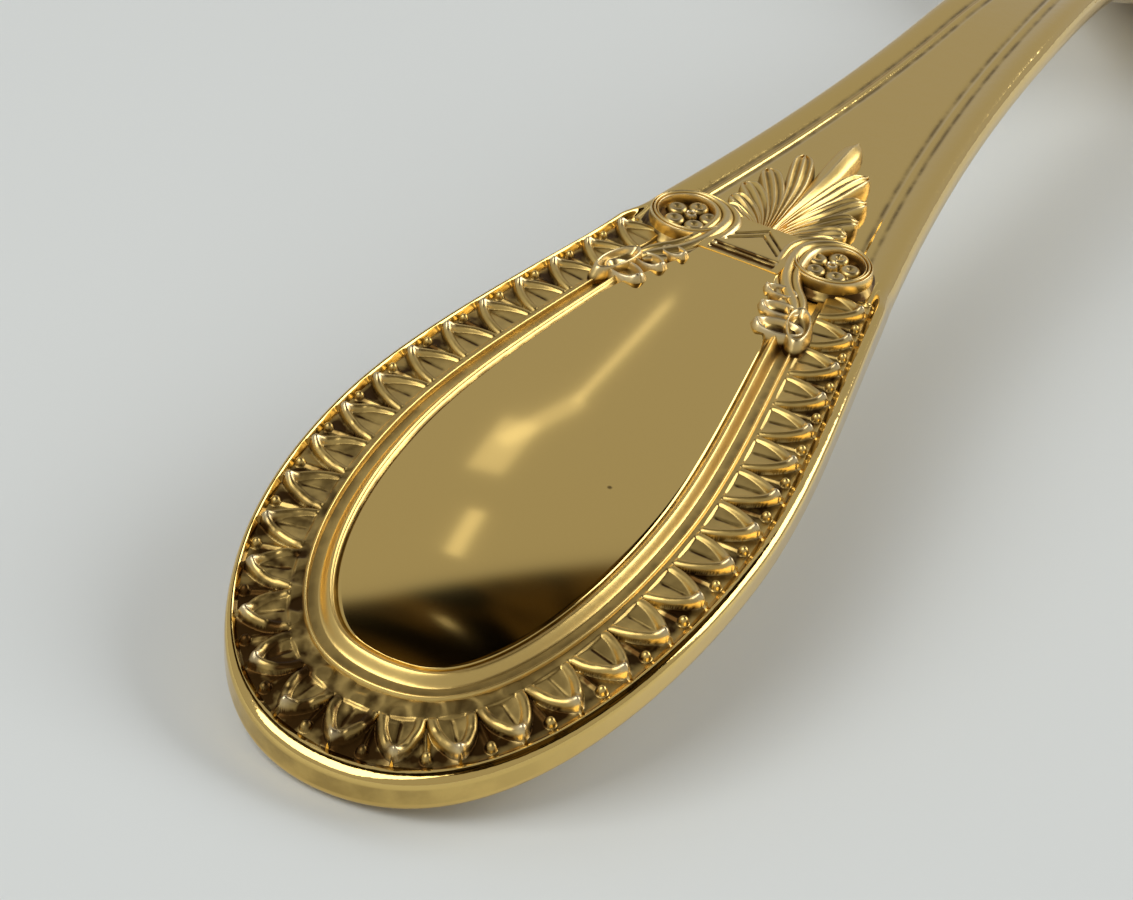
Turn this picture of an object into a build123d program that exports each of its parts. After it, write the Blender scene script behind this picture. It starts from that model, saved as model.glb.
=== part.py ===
# Teaspoon with a leaf-and-dart terminal, struck and gilt, lying on a table with its bowl up.
# Millimetres. +X runs from the handle tip to the bowl tip, +Y is the left side, +Z is up.
# The origin is on the table, under the middle of the spoon's length.
from math import atan2, cos, degrees, hypot, radians, sin
import os

from build123d import *

# Whole spoon
overall_length = 140.0  # handle tip to bowl tip, along the table
handle_rise = 11.0  # degrees, slope of the handle plane over the table

# Outline of the handle; every "at" is a distance from its tip in the handle plane
terminal_width = 17.7
terminal_widest_at = 15.5
tip_roundness = 0.674  # curve handle at the tip over the half width
tip_fullness = 0.59  # curve handle at the widest place over its distance from the tip
shoulder_fullness = 9.5  # how far the widest place stays wide towards the stem
terminal_length = 37.2
waist_width = 7.8  # where the terminal runs out into the stem
stem_share = 0.4228  # middle of the stem, on the way from the end of the terminal to the heel
stem_width = 6.55
stem_run = 8.0  # straight run of the outline each side of the stem's narrowing
neck_setback = 8.5  # heel of the bowl back to the narrowest place
neck_width = 5.0
neck_length = 13.5  # heel of the bowl back to where the neck begins
heel_width = 8.6  # where the neck runs out into the bowl
heel_flare = 1.3
drop_length = 3.4  # rounded end of the neck under the bowl

# Side line of the handle's top, over the handle plane, and the metal under it
tip_drop = 1.69
tip_crown_at = 10.05
tip_crown = 0.69
back_crown_at = 18.75
back_crown = 0.84
stem_drop = 3.13
arch_run = 11.0
heel_slope = 17.0  # degrees down towards the bowl
heel_run = 10.0
tip_thickness = 1.15
plate_thickness = 1.6
stem_thickness = 2.5
neck_thickness = 3.3

# Bowl: rim outline, depth and wall
bowl_front = 27.5  # widest place to the bowl tip
bowl_back = 18.5  # widest place to the heel
bowl_width = 29.0
bowl_depth = 8.4  # rim to the outside of the bottom
rim_wall = 1.1
bottom_wall = 1.5
bowl_tilt = 3.0  # degrees, bowl tip up

# Border of the terminal, widths measured in from its edge
tip_stretch = 1.22  # border widths at the tip over those at the sides
waist_stretch = 0.72  # border widths at the stem over those at the sides
rim_width = 0.52
rim_relief = 0.3
leaf_gap = 0.08  # rim to leaf tip
leaf_pairs = 16
leaf_share = 0.061  # leaf pitch over the terminal's length
leaf_length = 2.05
leaf_width = 1.4
leaf_fullness = 0.9  # half width of a leaf at its middle over that at its base
leaf_edge = 0.24
leaf_relief = 0.36
leaf_floor = 0.14
bead_radius = 0.25
bead_sides = 12
bead_setback = 0.36  # leaf tip line to the bead's centre
bead_relief = 0.3
dart_length = 1.2
dart_width = 0.24
dart_relief = 0.16

# Frame round the plaque
frame_gap = 0.1
ridge_width = 0.26
ridge_relief = 0.36
groove_width = 0.26
bevel_width = 0.5
bevel_relief = 0.46
plaque_gap = 0.06
plaque_relief_tip = 0.42
plaque_relief_top = 0.85
frame_setback = 8.2  # end of the terminal back to where the frame runs up to the scrolls

# Lintel, scrolls and palmette over the plaque; a setback is measured from the end of the terminal
lintel_setback = 4.35
lintel_width = 2.9
lintel_depth = 0.6
lintel_relief = 0.95
volute_setback = 2.25
volute_spread = 6.5  # between the two volute centres
volute_radius = 1.75
volute_band = 0.5
volute_relief = 1.15
scroll_width = 1.7
scroll_start = 0.85  # half the scroll's width over its lobe's radius, where it leaves the acanthus
scroll_bow = 0.25
petal_count = 5
petal_radius = 0.3
petal_ring = 0.72
pearl_radius = 0.36
rosette_relief = 1.0
curl_setback = 8.85
curl_spread = 7.1  # between the largest lobes of the two acanthus curls
curl_radius = 0.95
curl_count = 3
curl_step = 1.15
curl_shrink = 0.83  # each lobe over the one before
curl_turn = 34.0  # degrees, line of the lobes against the handle
acanthus_relief = 1.1
bud_width = 2.2
bud_length = 2.0
bud_relief = 0.6
palmette_gap = 0.4  # bud to the root of the leaves
palmette_length = 9.6
palmette_pairs = 3
palmette_turn = 13.5  # degrees from leaf to leaf
palmette_shrink = 0.735  # each leaf's length over the one before
palmette_leaf_width = 1.15
palmette_relief = 0.7

# Threads along the stem
thread_width = 1.4
thread_relief = 0.32
thread_groove = 0.16
inner_thread_width = 0.42
inner_thread_relief = 0.24

fit_gap = 0.06  # between neighbouring ornaments

half_length = overall_length / 2
rise = radians(handle_rise)
lean = radians(bowl_tilt)
past_all = overall_length / 4  # reaches past every face of the handle
across = terminal_width + bowl_width  # wider than the spoon


# Planes


def bowl_section(wall, floor):
    """Radius of the bowl's round cross section at its widest place, and the height of its middle over the rim."""
    half = bowl_width / 2 - wall
    depth = bowl_depth - floor
    lift = (half**2 - depth**2) / (2 * depth)
    return depth + lift, lift


def sloped_planes(origin, angle):
    """Plane seen from above and plane seen from the right, both rising by an angle along +X."""
    along = (cos(angle), 0, sin(angle))
    top = Plane(origin, x_dir=along, z_dir=(-sin(angle), 0, cos(angle)))
    side = Plane(origin, x_dir=along, z_dir=(0, -1, 0))
    return top, side


bowl_radius, bowl_lift = bowl_section(0, 0)
bowl_middle_height = hypot(
    bowl_back * bowl_radius / (bowl_width / 2) * sin(lean),
    bowl_radius * cos(lean),
)
bowl_top, bowl_side = sloped_planes(
    (half_length - bowl_front * cos(lean), 0, bowl_middle_height - bowl_lift * cos(lean)),
    lean,
)
handle_top, handle_side = sloped_planes(
    (
        -half_length - (tip_drop - rim_relief) * sin(rise),
        0,
        (tip_drop + tip_thickness) * cos(rise),
    ),
    rise,
)
heel = handle_top.to_local_coords(bowl_top.from_local_coords(Vector(-bowl_back, 0, 0)))

# Places along the handle plane, from the tip

stem_at = terminal_length + stem_share * (heel.X - terminal_length)
neck_at = heel.X - neck_setback
neck_start = heel.X - neck_length
frame_end = terminal_length - frame_setback
lintel_at = terminal_length - lintel_setback
volute_at = terminal_length - volute_setback
curl_at = terminal_length - curl_setback
leaf_pitch = terminal_length * leaf_share


# Side lines of the handle

stem_slope = atan2(-stem_drop - back_crown, stem_at - back_crown_at)
heel_angle = -radians(heel_slope + handle_rise)
ground_line = [
    (0, -tip_drop),
    (tip_crown_at, tip_crown),
    (back_crown_at, back_crown),
    (stem_at, -stem_drop),
    (stem_at + arch_run * cos(stem_slope), -stem_drop + arch_run * sin(stem_slope)),
    (heel.X - heel_run * cos(heel_angle), heel.Z - heel_run * sin(heel_angle)),
    (heel.X, heel.Z),
]
thicknesses = [
    tip_thickness,
    tip_thickness,
    plate_thickness,
    stem_thickness,
    stem_thickness,
    neck_thickness,
    neck_thickness,
]
under_line = [(x, z - metal) for (x, z), metal in zip(ground_line, thicknesses)]


def lifted_line(relief, relief_at_lintel=None):
    """Side line over the ground line, at one height or at a height that grows up to the lintel."""
    growth = 0 if relief_at_lintel is None else (relief_at_lintel - relief) / lintel_at
    return [(x, z + relief + growth * x) for x, z in ground_line]


def side_slab(lower, upper):
    """Solid between two side lines, wider than the handle and carried on under the bowl."""
    run_out = (heel_run * cos(heel_angle), heel_run * sin(heel_angle))
    with BuildPart() as slab:
        with BuildSketch(handle_side):
            with BuildLine():
                Bezier(*lower[:4])
                Bezier(*lower[3:])
                low_end = (lower[-1][0] + run_out[0], lower[-1][1] + run_out[1])
                high_end = (upper[-1][0] + run_out[0], upper[-1][1] + run_out[1])
                Polyline(lower[-1], low_end, high_end, upper[-1])
                Bezier(*upper[3:])
                Bezier(*upper[:4])
                Line(upper[0], lower[0])
            make_face()
        extrude(amount=across / 2, both=True)
    return slab.part


def relief_slab(relief, relief_at_lintel=None):
    """Layer of the handle's ornament, from the ground line up to a relief."""
    return side_slab(ground_line, lifted_line(relief, relief_at_lintel))


# Outlines in the handle plane


def tip_curve(inset):
    """Left half of the terminal's round end, set in from the edge."""
    tip = inset * tip_stretch
    half = terminal_width / 2 - inset
    pull = tip_fullness * (terminal_widest_at - tip)
    return [
        (tip, 0),
        (tip, tip_roundness * half),
        (terminal_widest_at - pull, half),
        (terminal_widest_at, half),
    ]


def shoulder_curve(inset, stretch=1.0):
    """Left edge from the widest place to the stem, set in from the edge."""
    half = terminal_width / 2 - inset
    return [
        (terminal_widest_at, half),
        (terminal_widest_at + shoulder_fullness, half),
        (terminal_length, waist_width / 2 - inset * stretch),
        (stem_at, stem_width / 2 - inset * stretch),
    ]


def stem_curve(inset):
    """Left edge from the stem to the neck, set in from the edge."""
    taper = (waist_width - stem_width) / 2 / (stem_at - terminal_length)
    return [
        (stem_at, stem_width / 2 - inset),
        (stem_at + stem_run, stem_width / 2 - taper * stem_run - inset),
        (neck_at - stem_run, neck_width / 2 - inset),
        (neck_at, neck_width / 2 - inset),
    ]


def keep_between(start, end):
    """Keep the stretch of the sketch between two distances from the tip."""
    with Locations(((start + end) / 2, 0)):
        Rectangle(end - start, across, mode=Mode.INTERSECT)


def handle_outline():
    """Face of the whole handle, run on past the heel into the rounded drop under the bowl."""
    with BuildSketch(handle_top) as outline:
        with BuildLine():
            Bezier(*tip_curve(0))
            Bezier(*shoulder_curve(0))
            Bezier(*stem_curve(0))
            Bezier(
                (neck_at, neck_width / 2),
                (heel.X - heel_flare, neck_width / 2),
                (heel.X - heel_flare, heel_width / 2 - 2 * heel_flare),
                (heel.X + heel_flare, heel_width / 2),
            )
            Bezier(
                (heel.X + heel_flare, heel_width / 2),
                (heel.X + drop_length, heel_width / 3),
                (heel.X + drop_length, heel_width / 5),
                (heel.X + drop_length, 0),
            )
            mirror(about=Plane.XZ)
        make_face()
    return outline.sketch_local


def border_outline(inset):
    """Face inside the terminal's border, set in from its edge."""
    with BuildSketch(handle_top) as outline:
        with BuildLine():
            Bezier(*tip_curve(inset))
            Bezier(*shoulder_curve(inset, waist_stretch))
            Line((stem_at, stem_width / 2 - inset * waist_stretch), (stem_at, 0))
            mirror(about=Plane.XZ)
        make_face()
    return outline.sketch_local


def plaque_outline(clearance=0.0):
    """Face of the plaque, inside the border and then drawn in behind the acanthus curls to the lintel."""
    inset = plaque_inset - clearance
    half = terminal_width / 2 - inset
    end = lintel_width / 2 + clearance
    with BuildSketch(handle_top) as outline:
        with BuildLine():
            Bezier(*tip_curve(inset))
            Bezier(
                (terminal_widest_at, half),
                (terminal_widest_at + shoulder_fullness, half),
                (curl_at, curl_spread / 2 + clearance),
                (lintel_at, end),
            )
            Line((lintel_at, end), (lintel_at, 0))
            mirror(about=Plane.XZ)
        make_face()
    return outline.sketch_local


def stem_strip(sign, outer, inner):
    """Face of a thread along one edge of the stem, between two distances in from the edge."""
    with BuildSketch(handle_top) as strip:
        with BuildLine():
            Bezier(*[(x, sign * y) for x, y in shoulder_curve(outer)])
            Bezier(*[(x, sign * y) for x, y in stem_curve(outer)])
            Line((neck_at, sign * (neck_width / 2 - outer)), (neck_at, sign * (neck_width / 2 - inner)))
            Bezier(*[(x, sign * y) for x, y in stem_curve(inner)])
            Bezier(*[(x, sign * y) for x, y in shoulder_curve(inner)])
            Line(
                (terminal_widest_at, sign * (terminal_width / 2 - inner)),
                (terminal_widest_at, sign * (terminal_width / 2 - outer)),
            )
        make_face()
        keep_between(terminal_length, neck_start)
    return strip.sketch_local


# Scroll ornament, one side at a time

sides = {"left": 1, "right": -1}


def curl_centres(sign):
    """Middles and radii of the acanthus lobes, from the largest towards the volute."""
    turn = radians(curl_turn)
    return [
        (
            curl_at + k * curl_step * cos(turn),
            sign * (curl_spread / 2 - k * curl_step * sin(turn)),
            curl_radius * curl_shrink**k,
        )
        for k in range(curl_count)
    ]


def acanthus_outline(sign, clearance=0.0):
    """Lobes of one acanthus curl."""
    with BuildSketch(handle_top) as outline:
        for x, y, radius in curl_centres(sign):
            with Locations((x, y)):
                Circle(radius + clearance)
    return outline.sketch_local


def scroll_outline(sign, clearance=0.0):
    """Bowed band from the acanthus to the volute, with the volute's disc."""
    x, y, radius = curl_centres(sign)[1]
    centre_y = sign * volute_spread / 2
    end_y = centre_y - sign * (volute_radius - scroll_width / 2)
    start = scroll_start * radius
    end = scroll_width / 2 + clearance
    mid_x = (x + volute_at) / 2
    mid_y = (y + end_y) / 2 - sign * scroll_bow
    mid = (start + end) / 2
    with BuildSketch(handle_top) as outline:
        with BuildLine():
            ThreePointArc((x, y + start), (mid_x, mid_y + mid), (volute_at, end_y + end))
            Line((volute_at, end_y + end), (volute_at, end_y - end))
            ThreePointArc((volute_at, end_y - end), (mid_x, mid_y - mid), (x, y - start))
            Line((x, y - start), (x, y + start))
        make_face()
        with Locations((volute_at, centre_y)):
            Circle(volute_radius + clearance)
    return outline.sketch_local


def clear_of_scrolls():
    """Cut the sketch back from both scrolls and both acanthus curls."""
    for sign in sides.values():
        add(scroll_outline(sign, fit_gap), mode=Mode.SUBTRACT)
        add(acanthus_outline(sign, fit_gap), mode=Mode.SUBTRACT)


# Leaves of the border, with each line of the border set in from the one outside it

leaf_line = rim_width + leaf_gap
ridge_inset = leaf_line + leaf_length + frame_gap
bevel_inset = ridge_inset + ridge_width + groove_width
plaque_inset = bevel_inset + bevel_width + plaque_gap
leaf_path = Wire([Bezier(*tip_curve(leaf_line)), Bezier(*shoulder_curve(leaf_line, waist_stretch))])


def border_place(pitches):
    """Place on the line of leaf tips, a number of pitches from the tip, with X pointing inwards."""
    point = leaf_path.position_at(pitches * leaf_pitch, PositionMode.LENGTH)
    along = leaf_path.tangent_at(pitches * leaf_pitch, PositionMode.LENGTH)
    return Location((point.X, point.Y, 0), (0, 0, degrees(atan2(-along.X, along.Y))))


def tongue(edge):
    """Pointed leaf between two arcs, set in all round but open at its base."""
    base = leaf_width / 2 - edge
    tip = 2 * edge
    middle = ((tip + leaf_length) / 2, leaf_fullness * base)
    with BuildSketch(Plane.XY) as leaf:
        with BuildLine():
            ThreePointArc((tip, 0), middle, (leaf_length, base))
            Line((leaf_length, base), (leaf_length, -base))
            ThreePointArc((leaf_length, -base), (middle[0], -middle[1]), (tip, 0))
        make_face()
    return leaf.sketch


def leaf_row(edge):
    """Every tongue leaf of the border."""
    shape = tongue(edge)
    with BuildSketch(handle_top) as row:
        for k in range(leaf_pairs + 1):
            with Locations(border_place(k)):
                add(shape)
        mirror(about=Plane.XZ)
        add(border_outline(ridge_inset - frame_gap), mode=Mode.SUBTRACT)
        clear_of_scrolls()
    return row.sketch_local


def dart():
    """Thin wedge that runs inwards from a bead between two leaves."""
    start = bead_setback + bead_radius + fit_gap
    with BuildSketch(Plane.XY) as wedge:
        with BuildLine():
            Polyline(
                (start, dart_width / 2),
                (start + dart_length, 0),
                (start, -dart_width / 2),
                close=True,
            )
        make_face()
    return wedge.sketch


def blade(length):
    """Palmette leaf between two arcs, pointed at root and tip."""
    with BuildSketch(Plane.XY) as leaf:
        with BuildLine():
            ThreePointArc((0, 0), (length / 2, palmette_leaf_width / 2), (length, 0))
            ThreePointArc((length, 0), (length / 2, -palmette_leaf_width / 2), (0, 0))
        make_face()
    return leaf.sketch


# Bowl


def egg(wall, floor):
    """Round body with a longer front half, cut by the rim at the bowl's outline less a wall."""
    radius, lift = bowl_section(wall, floor)
    share = (bowl_width / 2 - wall) / radius
    front = (bowl_front - wall) / share
    back = (bowl_back - wall) / share
    with BuildPart() as body:
        with BuildSketch(bowl_side):
            with BuildLine():
                EllipticalCenterArc((0, lift), front, radius, 0, arc_size=90)
                EllipticalCenterArc((0, lift), back, radius, 90, arc_size=90)
                Line((-back, lift), (front, lift))
            make_face()
        revolve(axis=Axis(bowl_side.from_local_coords((0, lift, 0)), bowl_side.x_dir))
    return body.part


bowl_outside = egg(0, 0)

with BuildPart() as bowl:
    add(bowl_outside)
    add(egg(rim_wall, bottom_wall), mode=Mode.SUBTRACT)
    split(bisect_by=bowl_top, keep=Keep.BOTTOM)

# Terminal, stem and neck: the handle's outline through its side view, cut in three


def across_handle(distance):
    """Plane square to the handle plane, at a distance from the tip."""
    return Plane(handle_top.from_local_coords((distance, 0, 0)), z_dir=handle_top.x_dir)


with BuildPart() as blank:
    with BuildSketch(handle_top):
        add(handle_outline())
    extrude(amount=past_all, both=True)
    add(side_slab(under_line, ground_line), mode=Mode.INTERSECT)

with BuildPart() as terminal:
    add(blank.part)
    split(bisect_by=across_handle(terminal_length), keep=Keep.BOTTOM)

with BuildPart() as stem:
    add(blank.part)
    split(bisect_by=across_handle(terminal_length), keep=Keep.TOP)
    split(bisect_by=across_handle(neck_start), keep=Keep.BOTTOM)

with BuildPart() as neck:
    add(blank.part)
    split(bisect_by=across_handle(neck_start), keep=Keep.TOP)
    add(bowl_outside, mode=Mode.SUBTRACT)

# Rim and border leaves

with BuildPart() as rim:
    with BuildSketch(handle_top):
        add(border_outline(0))
        add(border_outline(rim_width), mode=Mode.SUBTRACT)
        keep_between(0, terminal_length)
        clear_of_scrolls()
    extrude(amount=past_all, both=True)
    add(relief_slab(rim_relief), mode=Mode.INTERSECT)

with BuildPart() as leaf_hollows:
    with BuildSketch(handle_top):
        add(leaf_row(leaf_edge))
    extrude(amount=past_all, both=True)
    add(side_slab(lifted_line(leaf_floor), lifted_line(leaf_relief + 1)), mode=Mode.INTERSECT)

with BuildPart() as tongue_leaves:
    with BuildSketch(handle_top):
        add(leaf_row(0))
    extrude(amount=past_all, both=True)
    add(relief_slab(leaf_relief), mode=Mode.INTERSECT)
    add(leaf_hollows.part, mode=Mode.SUBTRACT)

with BuildPart() as darts:
    with BuildSketch(handle_top):
        for k in range(leaf_pairs):
            with Locations(border_place(k + 0.5)):
                add(dart())
        mirror(about=Plane.XZ)
        clear_of_scrolls()
    extrude(amount=past_all, both=True)
    add(relief_slab(dart_relief), mode=Mode.INTERSECT)

with BuildPart() as beads:
    with BuildSketch(handle_top):
        for k in range(leaf_pairs):
            with Locations(border_place(k + 0.5)):
                with Locations((bead_setback, 0)):
                    RegularPolygon(bead_radius, bead_sides)
        mirror(about=Plane.XZ)
        clear_of_scrolls()
    extrude(amount=past_all, both=True)
    add(relief_slab(bead_relief), mode=Mode.INTERSECT)

# Frame and plaque

with BuildPart() as frame_ridge:
    with BuildSketch(handle_top):
        add(border_outline(ridge_inset))
        add(border_outline(ridge_inset + ridge_width), mode=Mode.SUBTRACT)
        keep_between(0, frame_end)
        clear_of_scrolls()
    extrude(amount=past_all, both=True)
    add(relief_slab(ridge_relief), mode=Mode.INTERSECT)

with BuildPart() as frame_bevel:
    with BuildSketch(handle_top):
        add(border_outline(bevel_inset))
        add(plaque_outline(plaque_gap), mode=Mode.SUBTRACT)
        keep_between(0, frame_end)
        clear_of_scrolls()
    extrude(amount=past_all, both=True)
    add(relief_slab(bevel_relief), mode=Mode.INTERSECT)

with BuildPart() as plaque:
    with BuildSketch(handle_top):
        add(plaque_outline())
        clear_of_scrolls()
    extrude(amount=past_all, both=True)
    add(relief_slab(plaque_relief_tip, plaque_relief_top), mode=Mode.INTERSECT)

# Lintel, bud and palmette on the middle line

lintel_end = lintel_at + lintel_depth
bud_tip = lintel_end + bud_length
palmette_root = bud_tip + palmette_gap

with BuildPart() as lintel:
    with BuildSketch(handle_top):
        with Locations((lintel_at + lintel_depth / 2, 0)):
            Rectangle(lintel_depth, lintel_width)
        clear_of_scrolls()
    extrude(amount=past_all, both=True)
    add(relief_slab(lintel_relief), mode=Mode.INTERSECT)

with BuildPart() as bud:
    with BuildSketch(handle_top):
        with BuildLine():
            Polyline((lintel_end, bud_width / 2), (bud_tip, 0), (lintel_end, -bud_width / 2), close=True)
        make_face()
        clear_of_scrolls()
    extrude(amount=past_all, both=True)
    add(relief_slab(bud_relief), mode=Mode.INTERSECT)

with BuildPart() as palmette:
    with BuildSketch(handle_top):
        for k in range(-palmette_pairs, palmette_pairs + 1):
            with Locations(Location((palmette_root, 0, 0), (0, 0, k * palmette_turn))):
                add(blade(palmette_length * palmette_shrink ** abs(k)))
        clear_of_scrolls()
    extrude(amount=past_all, both=True)
    add(relief_slab(palmette_relief), mode=Mode.INTERSECT)

# Volutes, rosettes, acanthus curls and threads, left and right

paired = {}
for side, sign in sides.items():
    volute_place = (volute_at, sign * volute_spread / 2)

    with BuildPart() as volute:
        with BuildSketch(handle_top):
            add(scroll_outline(sign))
            with Locations(volute_place):
                Circle(volute_radius - volute_band, mode=Mode.SUBTRACT)
            add(acanthus_outline(sign, fit_gap), mode=Mode.SUBTRACT)
        extrude(amount=past_all, both=True)
        add(relief_slab(volute_relief), mode=Mode.INTERSECT)

    with BuildPart() as rosette:
        with BuildSketch(handle_top):
            with Locations(volute_place):
                Circle(pearl_radius)
                with PolarLocations(petal_ring, petal_count):
                    Circle(petal_radius)
        extrude(amount=past_all, both=True)
        add(relief_slab(rosette_relief), mode=Mode.INTERSECT)

    with BuildPart() as acanthus:
        with BuildSketch(handle_top):
            add(acanthus_outline(sign))
        extrude(amount=past_all, both=True)
        add(relief_slab(acanthus_relief), mode=Mode.INTERSECT)

    with BuildPart() as thread:
        with BuildSketch(handle_top):
            add(stem_strip(sign, 0, thread_width))
        extrude(amount=past_all, both=True)
        add(relief_slab(thread_relief), mode=Mode.INTERSECT)

    inner_edge = thread_width + thread_groove
    with BuildPart() as inner_thread:
        with BuildSketch(handle_top):
            add(stem_strip(sign, inner_edge, inner_edge + inner_thread_width))
        extrude(amount=past_all, both=True)
        add(relief_slab(inner_thread_relief), mode=Mode.INTERSECT)

    paired[f"{side}_volute"] = volute
    paired[f"{side}_rosette"] = rosette
    paired[f"{side}_acanthus"] = acanthus
    paired[f"{side}_thread"] = thread
    paired[f"{side}_inner_thread"] = inner_thread

pieces = {
    "bowl": bowl,
    "neck": neck,
    "stem": stem,
    "terminal": terminal,
    "rim_moulding": rim,
    "tongue_leaves": tongue_leaves,
    "darts": darts,
    "beads": beads,
    "frame_ridge": frame_ridge,
    "frame_bevel": frame_bevel,
    "plaque": plaque,
    "lintel": lintel,
    "bud": bud,
    "palmette": palmette,
    **paired,
}

os.makedirs("parts", exist_ok=True)
for name, piece in pieces.items():
    piece.part.label = name
    export_step(piece.part, f"parts/{name}.step")
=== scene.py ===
"""Gilt teaspoon with a leaf-and-dart terminal, dressed over its frame and set on a pale studio floor.

Lengths are metres. The handle has a plane of its own, which rises from the table towards the bowl.
In it, s runs from the handle's tip along the handle, w runs to the left, and a height is measured
up from the ground line, which is the handle's top without its ornament.
"""

import math

import bmesh
import bpy
import numpy as np
from mathutils import Euler, Matrix, Vector


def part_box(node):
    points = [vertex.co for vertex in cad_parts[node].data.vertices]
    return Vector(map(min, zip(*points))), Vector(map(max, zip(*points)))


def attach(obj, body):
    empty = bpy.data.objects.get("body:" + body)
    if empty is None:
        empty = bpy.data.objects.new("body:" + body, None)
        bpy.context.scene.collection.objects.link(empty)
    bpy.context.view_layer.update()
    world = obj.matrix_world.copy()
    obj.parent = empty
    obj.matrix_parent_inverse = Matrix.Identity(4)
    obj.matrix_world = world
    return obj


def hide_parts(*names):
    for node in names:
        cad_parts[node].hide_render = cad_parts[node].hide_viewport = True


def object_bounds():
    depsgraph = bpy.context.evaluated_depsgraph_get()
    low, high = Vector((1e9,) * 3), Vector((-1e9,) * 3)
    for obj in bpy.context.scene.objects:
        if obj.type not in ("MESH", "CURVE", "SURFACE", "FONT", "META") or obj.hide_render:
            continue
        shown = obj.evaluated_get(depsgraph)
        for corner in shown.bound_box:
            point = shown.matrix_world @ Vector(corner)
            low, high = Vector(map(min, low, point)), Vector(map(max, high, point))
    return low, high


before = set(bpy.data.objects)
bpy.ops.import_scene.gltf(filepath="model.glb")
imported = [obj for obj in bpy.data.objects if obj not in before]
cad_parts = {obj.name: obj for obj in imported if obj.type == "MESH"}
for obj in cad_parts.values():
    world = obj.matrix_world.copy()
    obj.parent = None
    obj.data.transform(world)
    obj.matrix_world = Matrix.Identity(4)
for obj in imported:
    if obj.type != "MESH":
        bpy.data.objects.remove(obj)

bl_info = {
    "name": "Gilt teaspoon",
    "version": (1, 0, 0),
    "blender": (4, 5, 0),
    "location": "View3D > Sidebar > Teaspoon",
    "description": "Builds a gilt teaspoon with a leaf-and-dart border over its frame",
    "category": "Object",
}

MM = 0.001
CAD_BOX = [list(corner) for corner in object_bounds()]
BOWL_LOW, BOWL_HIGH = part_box("bowl")
TERMINAL_LOW, TERMINAL_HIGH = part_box("terminal")

# Lengths along the handle from its tip
TRIM_GROWN = 10 * MM
PLAQUE_SIDES_END = 27.5 * MM
COLLAR_END, COLLAR_FADE = 28 * MM, 2 * MM
FRAME_END = 29.3 * MM
STEM_START, STEM_EASE = 33.6 * MM, 2.4 * MM
FINE_END = 42 * MM
NECK_START, NECK_EASE = 77 * MM, 6 * MM

# Leaf pitches from the tip
TIP_LEAVES_END = 5.5
DARKENING_END = 15.8
LEAVES_END = 16.2
BORDER_END = 16.75

# Other sizes that several shapes share
STRIP = 2.2 * MM  # moulded strip along the handle's edge
NECK_EDGE = 0.8 * MM  # rounding of the neck's upper edge
CLEARANCE = 0.06 * MM  # between neighbouring mouldings
SHARP = math.radians(75)  # edges that turn by more stay sharp


# Settings


def number(name, value, about, **options):
    """Number property with a name, a default and a description."""
    return bpy.props.FloatProperty(name=name, description=about, default=value, **options)


def length(name, value, about):
    """Length property whose default is given in millimetres."""
    return number(name, value * MM, about, unit="LENGTH", precision=5)


def share(name, value, about):
    """Plain number without a unit."""
    return number(name, value, about, precision=4)


def slope(name, value, about):
    """Angle property whose default is given in degrees."""
    return number(name, math.radians(value), about, subtype="ANGLE")


def count(name, value, about):
    """Whole number."""
    return bpy.props.IntProperty(name=name, description=about, default=value, min=1)


def colour(name, value, about):
    """Linear colour."""
    return bpy.props.FloatVectorProperty(
        name=name, description=about, default=value, size=3, subtype="COLOR", min=0.0, max=1.0
    )


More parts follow.
